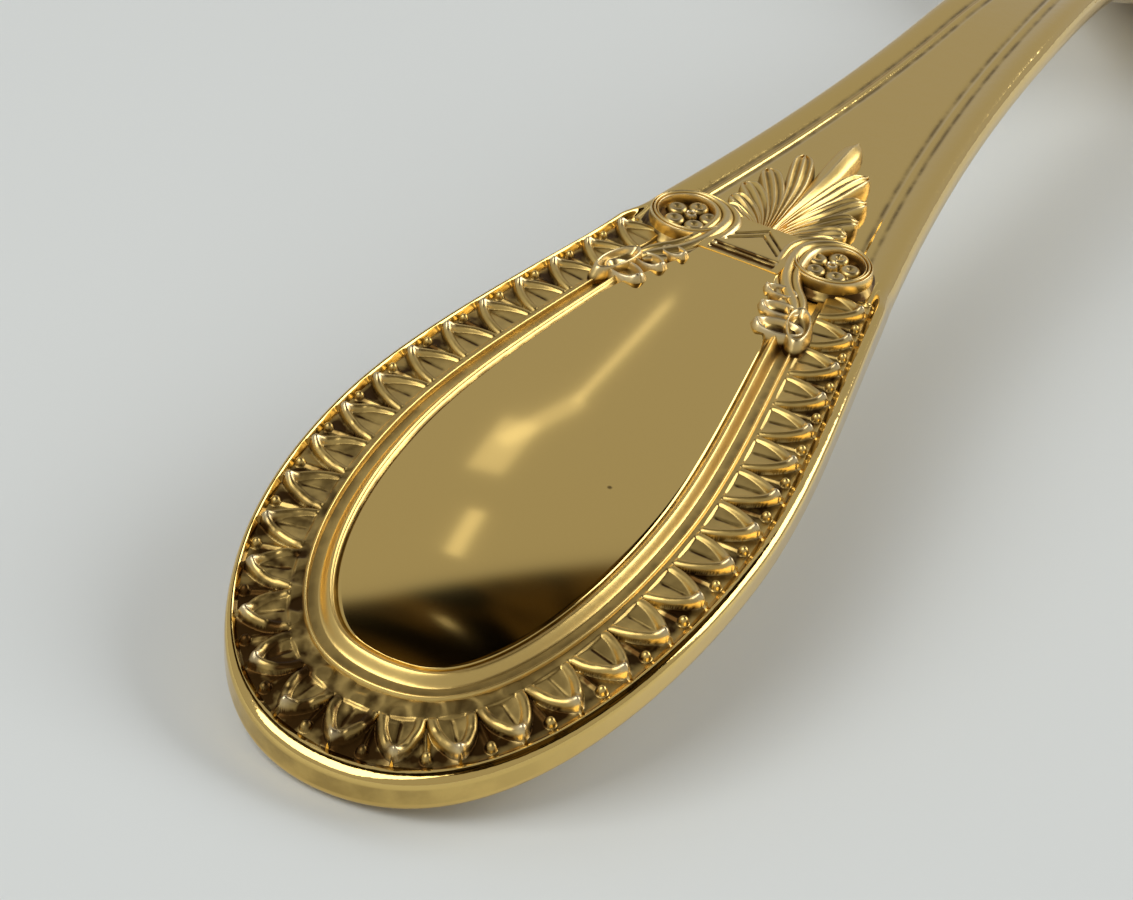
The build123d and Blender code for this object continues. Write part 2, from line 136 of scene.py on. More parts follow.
class TeaspoonHandle(bpy.types.PropertyGroup):
    rise: slope("Rise", 11, "Slope of the handle plane over the table")
    width: length("Terminal width", (TERMINAL_HIGH.y - TERMINAL_LOW.y) / MM, "Widest place of the handle")
    off_centre: length("Off centre", 0.2, "How far the ornament sits to the left of the blank's middle")
    widest_at: length("Widest at", 15.5, "Tip to the widest place")
    tip_roundness: share("Tip roundness", 0.674, "Curve handle at the tip over the half width")
    tip_fullness: share("Tip fullness", 0.59, "Curve handle at the widest place over the way from the tip")
    shoulder: length("Shoulder", 9.5, "How far the widest place stays wide towards the stem")
    terminal_length: length("Terminal length", 37.2, "Tip to the end of the terminal")
    waist_width: length("Waist width", 7.9, "Width where the terminal runs out into the stem")
    stem_at: length("Stem at", 61, "Tip to the middle of the stem")
    stem_width: length("Stem width", 6.5, "Width at the middle of the stem")
    stem_run: length("Stem run", 8, "Straight run of the edge each side of the stem's narrowing")
    neck_setback: length("Neck setback", 8.5, "Heel of the bowl back to the narrowest place")
    neck_width: length("Neck width", 5, "Width at the narrowest place")
    heel_slope: slope("Heel slope", 17, "Fall of the neck towards the bowl")
    heel_run: length("Heel run", 10, "Straight run of the neck's side line at the heel")
    tip_drop: length("Tip drop", 1.69, "Handle plane down to the tip")
    tip_step: length("Tip step", 0.3, "Height of the rim at the tip in the frame")
    tip_crown_at: length("Tip crown at", 10.05, "First pull of the side line")
    tip_crown: length("Tip crown", 0.69, "Height of the first pull")
    back_crown_at: length("Back crown at", 18.75, "Second pull of the side line")
    back_crown: length("Back crown", 0.84, "Height of the second pull")
    stem_drop: length("Stem drop", 3.13, "Handle plane down to the middle of the stem")
    arch_run: length("Arch run", 15, "Straight run of the side line behind the stem")
    tip_metal: length("Tip metal", 1.35, "Thickness at the tip")
    plate_metal: length("Plate metal", 1.0, "Thickness of the terminal")
    stem_metal: length("Stem metal", 2.3, "Thickness of the stem")
    neck_metal: length("Neck metal", 3.3, "Thickness of the neck")
    neck_round: length("Neck round", 0.9, "Extra radius of the lower corner at the neck")
    corner: length("Corner", 0.42, "Rounding of the lower edge")
    stem_edge: length("Stem edge", 1.25, "Ground line down to the thin edge of the lens-shaped stem")
    stem_roll: length("Stem roll", 0.75, "How far the outer thread rolls over at the edge")
    thread: length("Thread", 1.4, "Width of the outer thread on the stem")
    thread_height: length("Thread height", 0.2, "Height of the outer thread")
    inner_thread: length("Inner thread", 0.44, "Width of the inner thread on the stem")
    inner_height: length("Inner height", 0.08, "Height of the inner thread")
    panel_height: length("Panel height", 0.05, "Height of the stem's flat panel")


class TeaspoonBorder(bpy.types.PropertyGroup):
    tip_stretch: share("Tip stretch", 1.15, "Border widths at the tip over those at the sides")
    waist_stretch: share("Waist stretch", 0.72, "Border widths at the stem over those at the sides")
    rim: length("Rim", 0.8, "Edge to the line of leaf tips, on the broad side")
    rim_crest: share("Rim crest", 0.42, "Place of the rim's crest over the rim's width")
    rim_height: length("Rim height", 0.3, "Height of the rim's crest")
    pitch: length("Pitch", 2.27, "Leaf to leaf along the leaf tips")
    leaf_length: length("Leaf length", 1.98, "Tip to base of a leaf")
    leaf_short: share("Leaf short", 0.26, "How much shorter a leaf is at the handle's tip")
    leaf_fill: share("Leaf fill", 0.98, "Width of a leaf at its base over the spacing there")
    leaf_point: share("Leaf point", 1.65, "How soon a leaf widens behind its tip")
    leaf_roll: length("Leaf roll", 0.18, "Outline of a leaf to the crest of its rolled edge")
    leaf_height: length("Leaf height", 0.43, "Height of a leaf's rolled edge at its tip")
    leaf_foot: length("Leaf foot", 0.28, "Height of a leaf's rolled edge at its base")
    leaf_floor: length("Leaf floor", 0.15, "Height of a leaf's hollow")
    leaf_knob: length("Leaf knob", 0.16, "Height of the knob on a leaf's tip")
    bead: length("Bead", 0.21, "Radius of a bead")
    bead_in: length("Bead in", 0.14, "Leaf tips to the bead's middle")
    dart_height: length("Dart height", 0.1, "Height of the dart behind a bead")
    collar: length("Collar", 0.12, "Smooth strip behind the leaves")
    ridge: length("Ridge", 0.22, "Width of the thin moulding")
    channel: length("Channel", 0.42, "Width of the channel behind the ridge")
    bevel: length("Bevel", 0.46, "Width of the bright moulding round the plaque")
    collar_height: length("Collar height", 0.24, "Height of the strip behind the leaves")
    ridge_height: length("Ridge height", 0.38, "Height of the thin moulding")
    band_foot: share("Band foot", 0.38, "Flat share of the broad moulding's width, before it climbs")
    band_crest: share("Band crest", 0.82, "Place of the broad moulding's crest over its width")
    band_split: share("Band split", 0.88, "Place of the fine split over the broad moulding's width")
    plaque_low: length("Plaque low", 0.36, "Height of the plaque's edge at the tip")
    plaque_high: length("Plaque high", 0.64, "Height of the plaque's edge at the lintel")
    plaque_dome: length("Plaque dome", 0.16, "How far the plaque swells in its middle")


class TeaspoonScrolls(bpy.types.PropertyGroup):
    lintel_at: length("Lintel at", 32.85, "Tip to the lintel")
    lintel_width: length("Lintel width", 2.9, "Width of the lintel")
    lintel_cut: length("Lintel cut", 0.36, "Between the two cuts of the lintel")
    volute_at: length("Volute at", 34.95, "Tip to the volutes' middles")
    volute_spread: length("Volute spread", 6.5, "Between the volutes' middles")
    volute_radius: length("Volute radius", 1.78, "Outside of the volute's ring")
    volute_height: length("Volute height", 0.86, "Height of the scrolls")
    floor: length("Volute floor", 0.37, "Height of the ground inside a volute")
    scroll_width: length("Scroll width", 1.6, "Width of the reeded scroll")
    ring_width: length("Ring width", 0.46, "Width of the scroll round the volute")
    reeds: count("Reeds", 3, "Reeds side by side on a scroll")
    petals: count("Petals", 5, "Petals inside a volute")
    petal_radius: length("Petal radius", 0.46, "Size of a petal")
    curl_at: length("Curl at", 30.1, "Tip to the middle of the acanthus lobes")
    curl_spread: length("Curl spread", 7.0, "Between the first lobes of the two sides")
    curl_step: length("Curl step", 1.25, "From lobe to lobe along the handle")
    curl_length: length("Curl length", 2.7, "Length of the first acanthus lobe")
    curl_width: length("Curl width", 1.6, "Width of the first acanthus lobe")
    curl_shrink: share("Curl shrink", 0.82, "Each lobe's size over the one before")
    curl_turn: slope("Curl turn", 27, "Lean of the lobes towards the tip")
    curl_tips: count("Curl tips", 3, "Lobes that hook onto the plaque")
    curl_height: length("Curl height", 1.0, "Height of the acanthus lobes")
    palmette_at: length("Palmette at", 35.2, "Tip to the root of the palmette")
    palmette_length: length("Palmette length", 10.3, "Root to tip of the palmette")
    palmette_pairs: count("Palmette pairs", 5, "Leaves each side of the middle leaf")
    palmette_shrink: share("Palmette shrink", 0.77, "Each leaf's length over the one before")
    palmette_turn: slope("Palmette turn", 10.5, "Angle from leaf to leaf")
    palmette_leaf: length("Palmette leaf", 1.2, "Width of a palmette leaf")
    palmette_height: length("Palmette height", 0.62, "Height of the palmette's leaves")


class TeaspoonBowl(bpy.types.PropertyGroup):
    front: length("Front", 27.5, "Widest place to the bowl tip")
    back: length("Back", 18.5, "Widest place to the heel")
    width: length("Width", (BOWL_HIGH.y - BOWL_LOW.y) / MM, "Width of the bowl")
    depth: length("Depth", 8.4, "Rim to the outside of the bottom")
    rim_wall: length("Rim wall", 1.1, "Metal at the rim")
    bottom_wall: length("Bottom wall", 1.5, "Metal at the bottom")
    tilt: slope("Tilt", 3, "Bowl tip up")
    lip: length("Lip", 0.5, "Rounding of the bowl's edge")
    blend: length("Blend", 1.1, "Rounding where the neck runs into the bowl")


class TeaspoonFinish(bpy.types.PropertyGroup):
    gold: colour("Gold", (0.75, 0.53, 0.174), "Polished gold plate")
    silver: colour("Worn metal", (0.72, 0.62, 0.42), "Metal under worn plate")
    # Colour of the tarnish, and of the shade and dark reflections painted into recesses, creases, grooves and
    # walls
    tarnish_and_shade: colour("Tarnish", (0.066, 0.032, 0.008), "Brown film in the recesses")
    polish: share("Polish", 0.07, "Roughness of the polished plate")
    satin: share("Satin", 0.32, "Roughness of the struck relief")
    unevenness: length("Unevenness", 0.012, "Depth of the worn relief's fine waves")
    # Roughness where the tarnish and the painted shade are thick
    darkening_rough: share("Film roughness", 0.38, "Roughness where the film is thick")


class TeaspoonStage(bpy.types.PropertyGroup):
    floor: colour("Floor", (0.75, 0.78, 0.765), "Pale studio floor")
    room: colour("Room", (0.46, 0.46, 0.46), "Even light of the room")
    shade: colour("Shade", (0.0, 0.0, 0.0), "Dark card over the spoon")
    shade_light: colour("Shade light", (0.1, 0.062, 0.02), "Lighter places of the dark card")
    shade_size: slope("Shade size", 36.4, "Half angle of the dark card")
    place: bpy.props.FloatVectorProperty(
        name="Camera place",
        description="Where the camera stands",
        default=(-0.14475, -0.03596, 0.05988),
        unit="LENGTH",
    )
    azimuth: slope("Camera azimuth", 21.39, "Bearing of the view, from +X towards +Y")
    elevation: slope("Camera elevation", 28.46, "Fall of the view under the horizon")
    roll: slope("Camera roll", 11.27, "How far the camera leans")
    lens: number("Lens", 95.32, "Focal length in millimetres", subtype="DISTANCE_CAMERA")


# Curves and steps


def bezier(points, t):
    """Cubic curve: four points weighted by (1-t)^3, 3(1-t)^2 t, 3(1-t) t^2 and t^3."""
    t = np.asarray(t, float)[..., None]
    a, b, c, d = (np.asarray(p, float) for p in points)
    return (1 - t) ** 3 * a + 3 * (1 - t) ** 2 * t * b + 3 * (1 - t) * t**2 * c + t**3 * d


def smooth(x):
    """Eased step from 0 to 1: 3x^2 - 2x^3 between the ends."""
    x = np.clip(x, 0.0, 1.0)
    return x * x * (3 - 2 * x)


def ease(x, start, span):
    """Eased step that starts at one place and is done a span further on."""
    return smooth((x - start) / span)


def bell(x, width, power=2):
    """Bell of height 1 round zero: e to the minus (x / width)^power."""
    return np.exp(-((x / width) ** power))


def bump(x):
    """Rounded bar over -1 to 1: half of an ellipse, zero outside."""
    return np.sqrt(np.clip(1 - x * x, 0.0, None))


def edge_drop(inset, radius):
    """How far a rounded edge has fallen at a distance in from it: a quarter circle of that radius."""
    return radius - np.sqrt(np.clip(radius**2 - np.clip(radius - inset, 0.0, radius) ** 2, 0.0, None))


def soft_min(a, b, radius):
    """Lower of two heights, rounded where they cross: min(a, b) less a quarter of the squared overlap."""
    overlap = np.clip(radius - np.abs(a - b), 0.0, None)
    return np.minimum(a, b) - overlap**2 / (4 * radius)


def polar(distance, angle):
    """Step of a distance in a direction: the cosine and the sine times the distance."""
    return distance * np.array((math.cos(angle), math.sin(angle)))


def run_of(path):
    """Length run along a path at each of its points, from 0 at its start."""
    return np.concatenate(([0.0], np.cumsum(np.hypot(*np.diff(path, axis=0).T))))


def heading(path):
    """Unit direction of a path at each of its points, from the points beside it."""
    along = np.gradient(path, run_of(path), axis=0)
    return along / np.linalg.norm(along, axis=1, keepdims=True)


def column(start, end, size):
    """Even steps down a grid."""
    return np.linspace(start, end, size)[:, None]


def row(start, end, size):
    """Even steps across a grid."""
    return np.linspace(start, end, size)[None, :]


def across_outline(outline, rows, columns):
    """Grid inside a half outline: even steps along it, and sines of even angles from side to side.

    Gives the place along, the half width there, and the share of it from -1 to 1.
    """
    run = run_of(outline)
    stations = np.linspace(0, run[-1], rows)
    along, reach = (np.interp(stations, run, values)[:, None] for values in outline.T)
    return along, reach, np.sin(row(-np.pi / 2, np.pi / 2, columns))


def grid_points(x, y, z):
    """Grid of points from its three coordinates."""
    return np.stack(np.broadcast_arrays(x, y, z), axis=-1)


# Lines of the spoon


def bowl_section(bowl, wall, floor):
    """Radius of the bowl's round section at its widest place, and the height of its middle over the rim."""
    half = bowl.width / 2 - wall
    depth = bowl.depth - floor
    lift = (half**2 - depth**2) / (2 * depth)
    return depth + lift, lift


def bowl_place(bowl):
    """World x of the bowl's widest place and the height of its rim there, with the bottom on the table."""
    radius, lift = bowl_section(bowl, 0.0, 0.0)
    lean_cos, lean_sin = math.cos(bowl.tilt), math.sin(bowl.tilt)
    over_table = math.hypot(bowl.back * radius / (bowl.width / 2) * lean_sin, radius * lean_cos)
    return BOWL_HIGH.x - bowl.front * lean_cos, over_table - lift * lean_cos


class HandleLines:
    """Side line and edge of the handle, stepped finely once and read by interpolation."""

    def __init__(self, scene):
        self.handle, self.border = scene.teaspoon_handle, scene.teaspoon_border
        self.scrolls, self.bowl = scene.teaspoon_scrolls, scene.teaspoon_bowl
        h, bowl = self.handle, self.bowl
        self.cos, self.sin = math.cos(h.rise), math.sin(h.rise)
        self.origin_x = CAD_BOX[0][0] - (h.tip_drop - h.tip_step) * self.sin
        self.origin_z = (h.tip_drop + h.tip_metal) * self.cos
        self.up = np.array((-self.sin, 0.0, self.cos))
        middle_x, rim_z = bowl_place(bowl)
        reach = middle_x - bowl.back * math.cos(bowl.tilt) - self.origin_x
        climb = rim_z - bowl.back * math.sin(bowl.tilt) - self.origin_z
        self.heel_s = reach * self.cos + climb * self.sin
        self.heel_z = climb * self.cos - reach * self.sin
        self.neck_s = self.heel_s - h.neck_setback
        self.draw_side()
        self.draw_edge()

    def draw_side(self):
        """Two cubic curves for the ground line; the metal under it is blended by the same weights."""
        h = self.handle
        stem = np.array((h.stem_at, -h.stem_drop, h.stem_metal))
        heel = np.array((self.heel_s, self.heel_z, h.neck_metal))
        front = [
            (0, -h.tip_drop, h.tip_metal),
            (h.tip_crown_at, h.tip_crown, h.plate_metal),
            (h.back_crown_at, h.back_crown, h.plate_metal),
            stem,
        ]
        stem_slope = math.atan2(-h.stem_drop - h.back_crown, h.stem_at - h.back_crown_at)
        arch = np.append(polar(h.arch_run, stem_slope), 0.0)
        fall = np.append(polar(h.heel_run, -(h.heel_slope + h.rise)), 0.0)
        t = np.linspace(0, 1, 1201)
        line = np.concatenate((bezier(front, t), bezier([stem, stem + arch, heel - fall, heel], t[1:])))
        self.side_s, self.side_z, self.side_metal = line.T

    def draw_edge(self):
        """Three cubic curves for the broad side's edge; the inward normal is the tangent turned a quarter.

        The ornament is struck off centre, so along the terminal the left edge loses twice that offset.
        """
        h, b = self.handle, self.border
        half = h.width / 2 + h.off_centre
        taper = (h.waist_width - h.stem_width) / 2 / (h.stem_at - h.terminal_length)
        widest, stem = (h.widest_at, half), (h.stem_at, h.stem_width / 2)
        tip = [(0, 0), (0, h.tip_roundness * half), (h.widest_at * (1 - h.tip_fullness), half), widest]
        shoulder = [widest, (h.widest_at + h.shoulder, half), (h.terminal_length, h.waist_width / 2), stem]
        narrowing = [
            stem,
            (h.stem_at + h.stem_run, h.stem_width / 2 - taper * h.stem_run),
            (self.neck_s - h.stem_run, h.neck_width / 2),
            (self.neck_s, h.neck_width / 2),
        ]
        t = np.linspace(0, 1, 1601)
        line = np.concatenate((bezier(tip, t), bezier(shoulder, t[1:]), bezier(narrowing, t[1:])))
        along = heading(line)
        along[0], along[-1] = (0.0, 1.0), (1.0, 0.0)
        self.edge, self.edge_run = line, run_of(line)
        self.inward = np.stack((along[:, 1], -along[:, 0]), axis=1)
        s = line[:, 0]
        towards_stem = ease(s, h.widest_at, h.stem_at - h.widest_at)
        tip_share = (b.tip_stretch - 1) * self.inward[:, 0] ** 2
        self.stretch = 1 + tip_share - (1 - b.waist_stretch) * towards_stem
        self.leaf_run = run_of(line + self.inward * (b.rim * self.stretch)[:, None])
        run_out = 1 - ease(s, 2 * h.widest_at, h.terminal_length - 2 * h.widest_at)
        self.left_trim = 2 * h.off_centre * smooth(self.edge_run / TRIM_GROWN) * run_out

    def world(self, s, w, height):
        """Handle-plane place and height over the ground line, turned by the rise and set at the tip."""
        z = np.interp(s, self.side_s, self.side_z) + height
        x = self.origin_x + s * self.cos - z * self.sin
        return grid_points(x, w, self.origin_z + s * self.sin + z * self.cos)

    def border_place(self, pitches, inset):
        """Edge point at a run of leaf pitches from the tip, plus the inward normal times the inset.

        Runs above zero lie on the left edge, and runs below zero are mirrored to the right.
        """
        pitches, inset = np.broadcast_arrays(pitches, inset)

        def there(values):
            """Values along the line of leaf tips, read at these runs."""
            return np.interp(np.abs(pitches) * self.border.pitch, self.leaf_run, values)

        deep = inset * there(self.stretch)
        s = there(self.edge[:, 0]) + deep * there(self.inward[:, 0])
        w = there(self.edge[:, 1]) + deep * there(self.inward[:, 1])
        return s, np.where(pitches < 0, -w, w)

    def pitches_at(self, s):
        """Run in leaf pitches at which the line of leaf tips has come a distance from the tip."""
        return np.interp(s, self.edge[:, 0], self.leaf_run) / self.border.pitch

    def frame_edge(self):
        """Distance in from the handle's edge to the thin moulding round the plaque."""
        b = self.border
        return b.rim + b.leaf_length + b.collar

    def plaque_edge(self):
        """Distance in from the handle's edge to the plaque's edge."""
        b = self.border
        return self.frame_edge() + b.ridge + b.channel + b.bevel + CLEARANCE

    def plaque_level(self, s):
        """Height of the plaque's edge, which grows evenly with the distance from the tip."""
        b = self.border
        return b.plaque_low + (b.plaque_high - b.plaque_low) * s / self.scrolls.lintel_at


# Finishes

# Setting that gives the roughness, and whether the piece carries marks of tarnish with painted shade, and of
# wear
GILTS = {
    "polished gilt": ("polish", False),
    "rim gilt": ("polish", True),
    "struck gilt": ("satin", True),
}


def fill(tree, socket, value):
    """Give a socket its value, or a link where the value is another node's socket."""
    if isinstance(value, bpy.types.NodeSocket):
        tree.links.new(value, socket)
    else:
        socket.default_value = value


def node(tree, kind, *inputs, **values):
    """Shader node with its settings and inputs filled in by name, then its first inputs in order."""
    made = tree.nodes.new(kind)
    for key, value in values.items():
        if key in made.inputs:
            fill(tree, made.inputs[key], value)
        else:
            setattr(made, key, value)
    for socket, value in zip(made.inputs, inputs):
        fill(tree, socket, value)
    return made.outputs


def ramp(tree, value, start, end, low=0.0, high=1.0, **settings):
    """Value carried evenly from one range to another and held at both ends."""
    ends = {"From Min": start, "From Max": end, "To Min": low, "To Max": high}
    return node(tree, "ShaderNodeMapRange", **settings, Value=value, **ends)["Result"]


def mixed(tree, a, b, factor):
    """Colour that goes from one to another with a factor."""
    return node(tree, "ShaderNodeMix", data_type="RGBA", A=a, B=b, Factor=factor)["Result"]


def gilt(name):
    """Gold plate: a metal whose colour and polish follow dark specks, and on a struck piece its marks.

    There, a brown darkening is the tarnish-and-shade mark times a fine cloud: real tarnish together with
    shade and dark reflections painted into recesses, creases, grooves and walls. Wear shows the metal under
    the plate.
    """
    material = bpy.data.materials.get(name)
    if material is not None:
        return material
    finish = bpy.context.scene.teaspoon_finish
    polish, marks = GILTS[name]
    material = bpy.data.materials.new(name)
    material.use_nodes = True
    tree = material.node_tree
    shader = tree.nodes["Principled BSDF"].inputs
    shader["Metallic"].default_value = 1.0
    place = node(tree, "ShaderNodeTexCoord")["Object"]
    pit = node(tree, "ShaderNodeTexVoronoi", Vector=place, Scale=190.0)["Distance"]
    darkening = ramp(tree, pit, 0.01, 0.024, low=0.75, high=0.0)
    plate = (*finish.gold, 1)
    if marks:
        # Tarnish with painted shade, from the piece's mark, made patchy by a cloud
        tarnish_and_shade = node(tree, "ShaderNodeAttribute", attribute_name="tarnish_and_shade")["Fac"]
        wear = node(tree, "ShaderNodeAttribute", attribute_name="wear")["Fac"]
        cloud = node(tree, "ShaderNodeTexNoise", Vector=place, Scale=900.0, Detail=3.0)["Fac"]
        patch = ramp(tree, cloud, 0.36, 0.6, low=0.3)
        recess = node(tree, "ShaderNodeMath", tarnish_and_shade, patch, operation="MULTIPLY")["Value"]
        darkening = node(tree, "ShaderNodeMath", recess, darkening, operation="MAXIMUM")["Value"]
        plate = mixed(tree, plate, (*finish.silver, 1), wear)
        waves = node(tree, "ShaderNodeTexNoise", Vector=place, Scale=1600.0, Detail=2.0)["Fac"]
        uneven = node(tree, "ShaderNodeBump", Distance=finish.unevenness, Height=waves)["Normal"]
        fill(tree, shader["Normal"], uneven)
    fill(tree, shader["Base Color"], mixed(tree, plate, (*finish.tarnish_and_shade, 1), darkening))
    rough = ramp(tree, darkening, 0.0, 1.0, low=getattr(finish, polish), high=finish.darkening_rough)
    fill(tree, shader["Roughness"], rough)
    return material


# Meshes


def grid_quads(rows, columns, wrap=False):
    """Quads of a grid of vertices stored row by row, closed across the columns where it wraps."""
    i = np.arange(rows - 1)[:, None] * columns
    j = np.arange(columns if wrap else columns - 1)[None, :]
    k = (j + 1) % columns
    return grid_corners(i + j, i + k, i + columns + k, i + columns + j)


def grid_corners(*corners):
    """Quads from arrays of their four corners."""
    return np.stack(np.broadcast_arrays(*corners), axis=-1).reshape(-1, 4)


def banded(top, down):
    """Closed strip under a grid of top points: both long edges are lowered, and fans cap both ends."""
    rows, columns = top.shape[:2]
    loop = np.concatenate((top, top[:, -1:] + down, top[:, :1] + down), axis=1)
    size = columns + 2
    j = np.arange(columns)
    cap = grid_corners(size - 1, j, j + 1, j + 1)
    far = cap[:, ::-1] + (rows - 1) * size
    return loop.reshape(-1, 3), np.concatenate((grid_quads(rows, size, wrap=True), cap, far))


def with_marks(top, low, crest):
    """Marks of a top grid carried to the two lowered edge rows that close it."""
    low, crest = (np.broadcast_to(mark, top.shape[:2]) for mark in (low, crest))
    low = np.concatenate((low, low[:, -1:], low[:, :1]), axis=1)
    crest = np.concatenate((crest, crest[:, -1:] * 0, crest[:, :1] * 0), axis=1)
    return {"tarnish_and_shade": low, "wear": crest}


def put_piece(name, points, faces, finish, nodes, marks=None):
    """Mesh object from arrays, with doubles merged and faces turned outwards, riding on the spoon's body."""
    mesh = bpy.data.meshes.new(name)
    mesh.vertices.add(len(points))
    mesh.vertices.foreach_set("co", points.astype(np.float32).ravel())
    mesh.loops.add(faces.size)
    mesh.loops.foreach_set("vertex_index", faces.astype(np.int32).ravel())
    mesh.polygons.add(len(faces))
    mesh.polygons.foreach_set("loop_start", np.arange(0, faces.size, 4, dtype=np.int32))
    mesh.update(calc_edges=True)
    for mark, values in (marks or {}).items():
        layer = mesh.attributes.new(mark, "FLOAT", "POINT")
        layer.data.foreach_set("value", values.astype(np.float32).ravel())
    shape = bmesh.new()
    shape.from_mesh(mesh)
    bmesh.ops.remove_doubles(shape, verts=shape.verts, dist=1e-4 * MM)
    bmesh.ops.dissolve_degenerate(shape, edges=shape.edges, dist=1e-5 * MM)
    bmesh.ops.recalc_face_normals(shape, faces=shape.faces)
    for face in shape.faces:
        face.smooth = True
    shape.to_mesh(mesh)
    shape.free()
    if not len(mesh.polygons):
        raise RuntimeError(f"{name} came out empty")
    mesh.set_sharp_from_angle(angle=SHARP)
    mesh.materials.append(gilt(finish))
    piece = bpy.data.objects.new(name, mesh)
    bpy.context.scene.collection.objects.link(piece)
    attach(piece, "root")
    if nodes:
        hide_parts(*nodes)


def put_relief(lines, name, forms, nodes, depth):
    """Struck piece of one or more top grids with their marks, each closed at a depth under its edges."""
    points, faces, marks, start = [], [], [], 0
    for form in forms:
        place, quads = banded(form[0], -depth * lines.up)
        points.append(place)
        faces.append(quads + start)
        marks.append(with_marks(*form))
        start += len(place)
    marks = {key: np.concatenate([mark[key].ravel() for mark in marks]) for key in marks[0]}
    put_piece(name, np.concatenate(points), np.concatenate(faces), "struck gilt", nodes, marks)


# Handle and bowl


def terminal_top(b, rim_share, at_tip):
    """Rim across its width: a quarter ellipse up to the crest, then an eased fall to the leaf tips.

    The crest is lower round the tip.
    """
    sunk, sunk_at_tip, fallen_at = 0.05 * MM, 0.12 * MM, 1.02
    outside = rim_share < b.rim_crest
    foot = -sunk - sunk_at_tip * at_tip * outside
    crest = b.rim_height * (1 - 0.5 * at_tip)
    climb = bump(1 - np.clip(rim_share / b.rim_crest, 0, 1))
    fall = ease(rim_share, b.rim_crest, fallen_at - b.rim_crest)
    return np.where(outside, foot + (crest - foot) * climb, crest + (foot - crest) * fall)


def stem_top(h, inset, towards):
    """Stem over the inset: a broad thread that rolls over at the edge, a groove, a thin thread, a flat panel.

    The threads fall off inwards as a cosine and a squared cosine, and the panel rises by an eased step.
    """
    groove, panel_rise = 0.1 * MM, 0.2 * MM
    start = h.thread + groove
    inwards = np.clip(inset / h.thread - 0.5, -0.5, 0.5)
    over = (h.thread_height + h.stem_roll) * bump(2 * inwards) - h.stem_roll
    outer = np.where(inwards < 0, over, h.thread_height * np.cos(np.pi * inwards))
    over_inner = np.clip((inset - start) / h.inner_thread - 0.5, -0.5, 0.5)
    inner = h.inner_height * np.cos(np.pi * over_inner) ** 2
    panel_edge = start + h.inner_thread + CLEARANCE
    panel = h.panel_height * ease(inset, panel_edge, panel_rise)
    panel = np.where((inset > panel_edge) | (towards > 0), panel, 0.0)
    return np.where(inset < h.thread / 2, outer, np.maximum(np.maximum(outer, inner), panel))


def handle_half(lines, trim):
    """Points of the handle's left half, and how much painted shade each one takes.

    A section is carried along the edge: underside, rounded lower corner, side wall, rim or thread,
    then the top down to the middle line. Each point is the edge point plus the inward normal times its
    inset, which starts at the trim, and past the moulded strip it is drawn straight to the middle line.
    """
    h, b = lines.handle, lines.border
    fine_stations = np.linspace(0, FINE_END, 240)[:-1]
    stations = np.concatenate((fine_stations, np.linspace(FINE_END, lines.edge_run[-1], 130)))

    def along(values):
        """Values along the edge, read at the stations."""
        return np.interp(stations, lines.edge_run, values)[:, None]

    edge_s, edge_w = along(lines.edge[:, 0]), along(lines.edge[:, 1])
    normal_s, normal_w = along(lines.inward[:, 0]), along(lines.inward[:, 1])
    stretch, cut = along(lines.stretch), along(trim)
    at_tip = normal_s**2
    middle_start = 8 * MM
    middle_s = edge_s + middle_start * (1 - smooth(edge_s / h.widest_at))

    quarter = 1 - np.cos(np.linspace(0, np.pi / 2, 9))
    crest = b.rim * b.rim_crest
    inner = np.linspace(0, 1, 7)[1:]
    under = np.linspace(STRIP, h.corner, 7)[:-1]
    wall = np.linspace(0.1, 0.9, 5)
    flat = np.full(inner.size, STRIP)
    moulded = np.concatenate((crest * quarter, np.linspace(crest, STRIP, 58)[1:]))
    own = np.concatenate((flat, under, h.corner * quarter[::-1], wall * 0, moulded, flat))
    towards = np.concatenate((inner[::-1], np.zeros(own.size - 2 * inner.size), inner))
    foot_at = flat.size + under.size + quarter.size
    head_at = foot_at + wall.size
    below = np.arange(own.size) < foot_at
    on_wall = np.zeros(own.size)
    on_wall[foot_at:head_at] = wall
    inset = cut + own * (1 - cut / STRIP)

    at_s, at_w = edge_s + normal_s * inset, edge_w + normal_w * inset
    at_s = at_s + (middle_s - at_s) * towards
    at_w = at_w * (1 - towards)

    metal = np.interp(edge_s, lines.side_s, lines.side_metal)
    rim_share = (inset - cut) / (b.rim * stretch - cut)
    rim = terminal_top(b, rim_share, at_tip)
    stem = stem_top(h, inset - cut, towards)
    run_in = ease(edge_s, STEM_START, STEM_EASE)
    run_out = ease(edge_s, NECK_START, NECK_EASE)
    on_stem = run_in * (1 - run_out)
    top = rim + (stem - rim) * run_in
    top = top + (-edge_drop(own, NECK_EDGE) - top) * run_out
    corner = h.corner + h.neck_round * run_out
    lens = (metal - h.stem_edge) * on_stem
    bottom = -metal + edge_drop(own, corner) + lens * (1 - own / STRIP) ** 2
    foot = -metal + corner + lens
    side = foot + (top[:, [head_at]] - foot) * on_wall
    height = np.where(below, bottom, np.where(on_wall > 0, side, top))

    # Painted dark reflection on the rim's inner fall, strongest at the tip, painted shade in the stem's
    # grooves, and a painted dark reflection on the side wall at the tip
    painted_shade = ease(rim_share, 0.8, 0.3) * (0.3 + 0.6 * at_tip) * (1 - run_in)
    seam_width = 0.1 * MM
    seams = np.array((h.thread + 0.05 * MM, h.thread + h.inner_thread + 0.13 * MM))
    near = bell((inset - cut)[..., None] - seams, seam_width).sum(axis=-1)
    painted_shade = (painted_shade + near * on_stem) * (~below) * (own > 0)
    painted_shade = np.where(on_wall > 0, 0.55 * at_tip, painted_shade)
    return lines.world(at_s, at_w, height), painted_shade


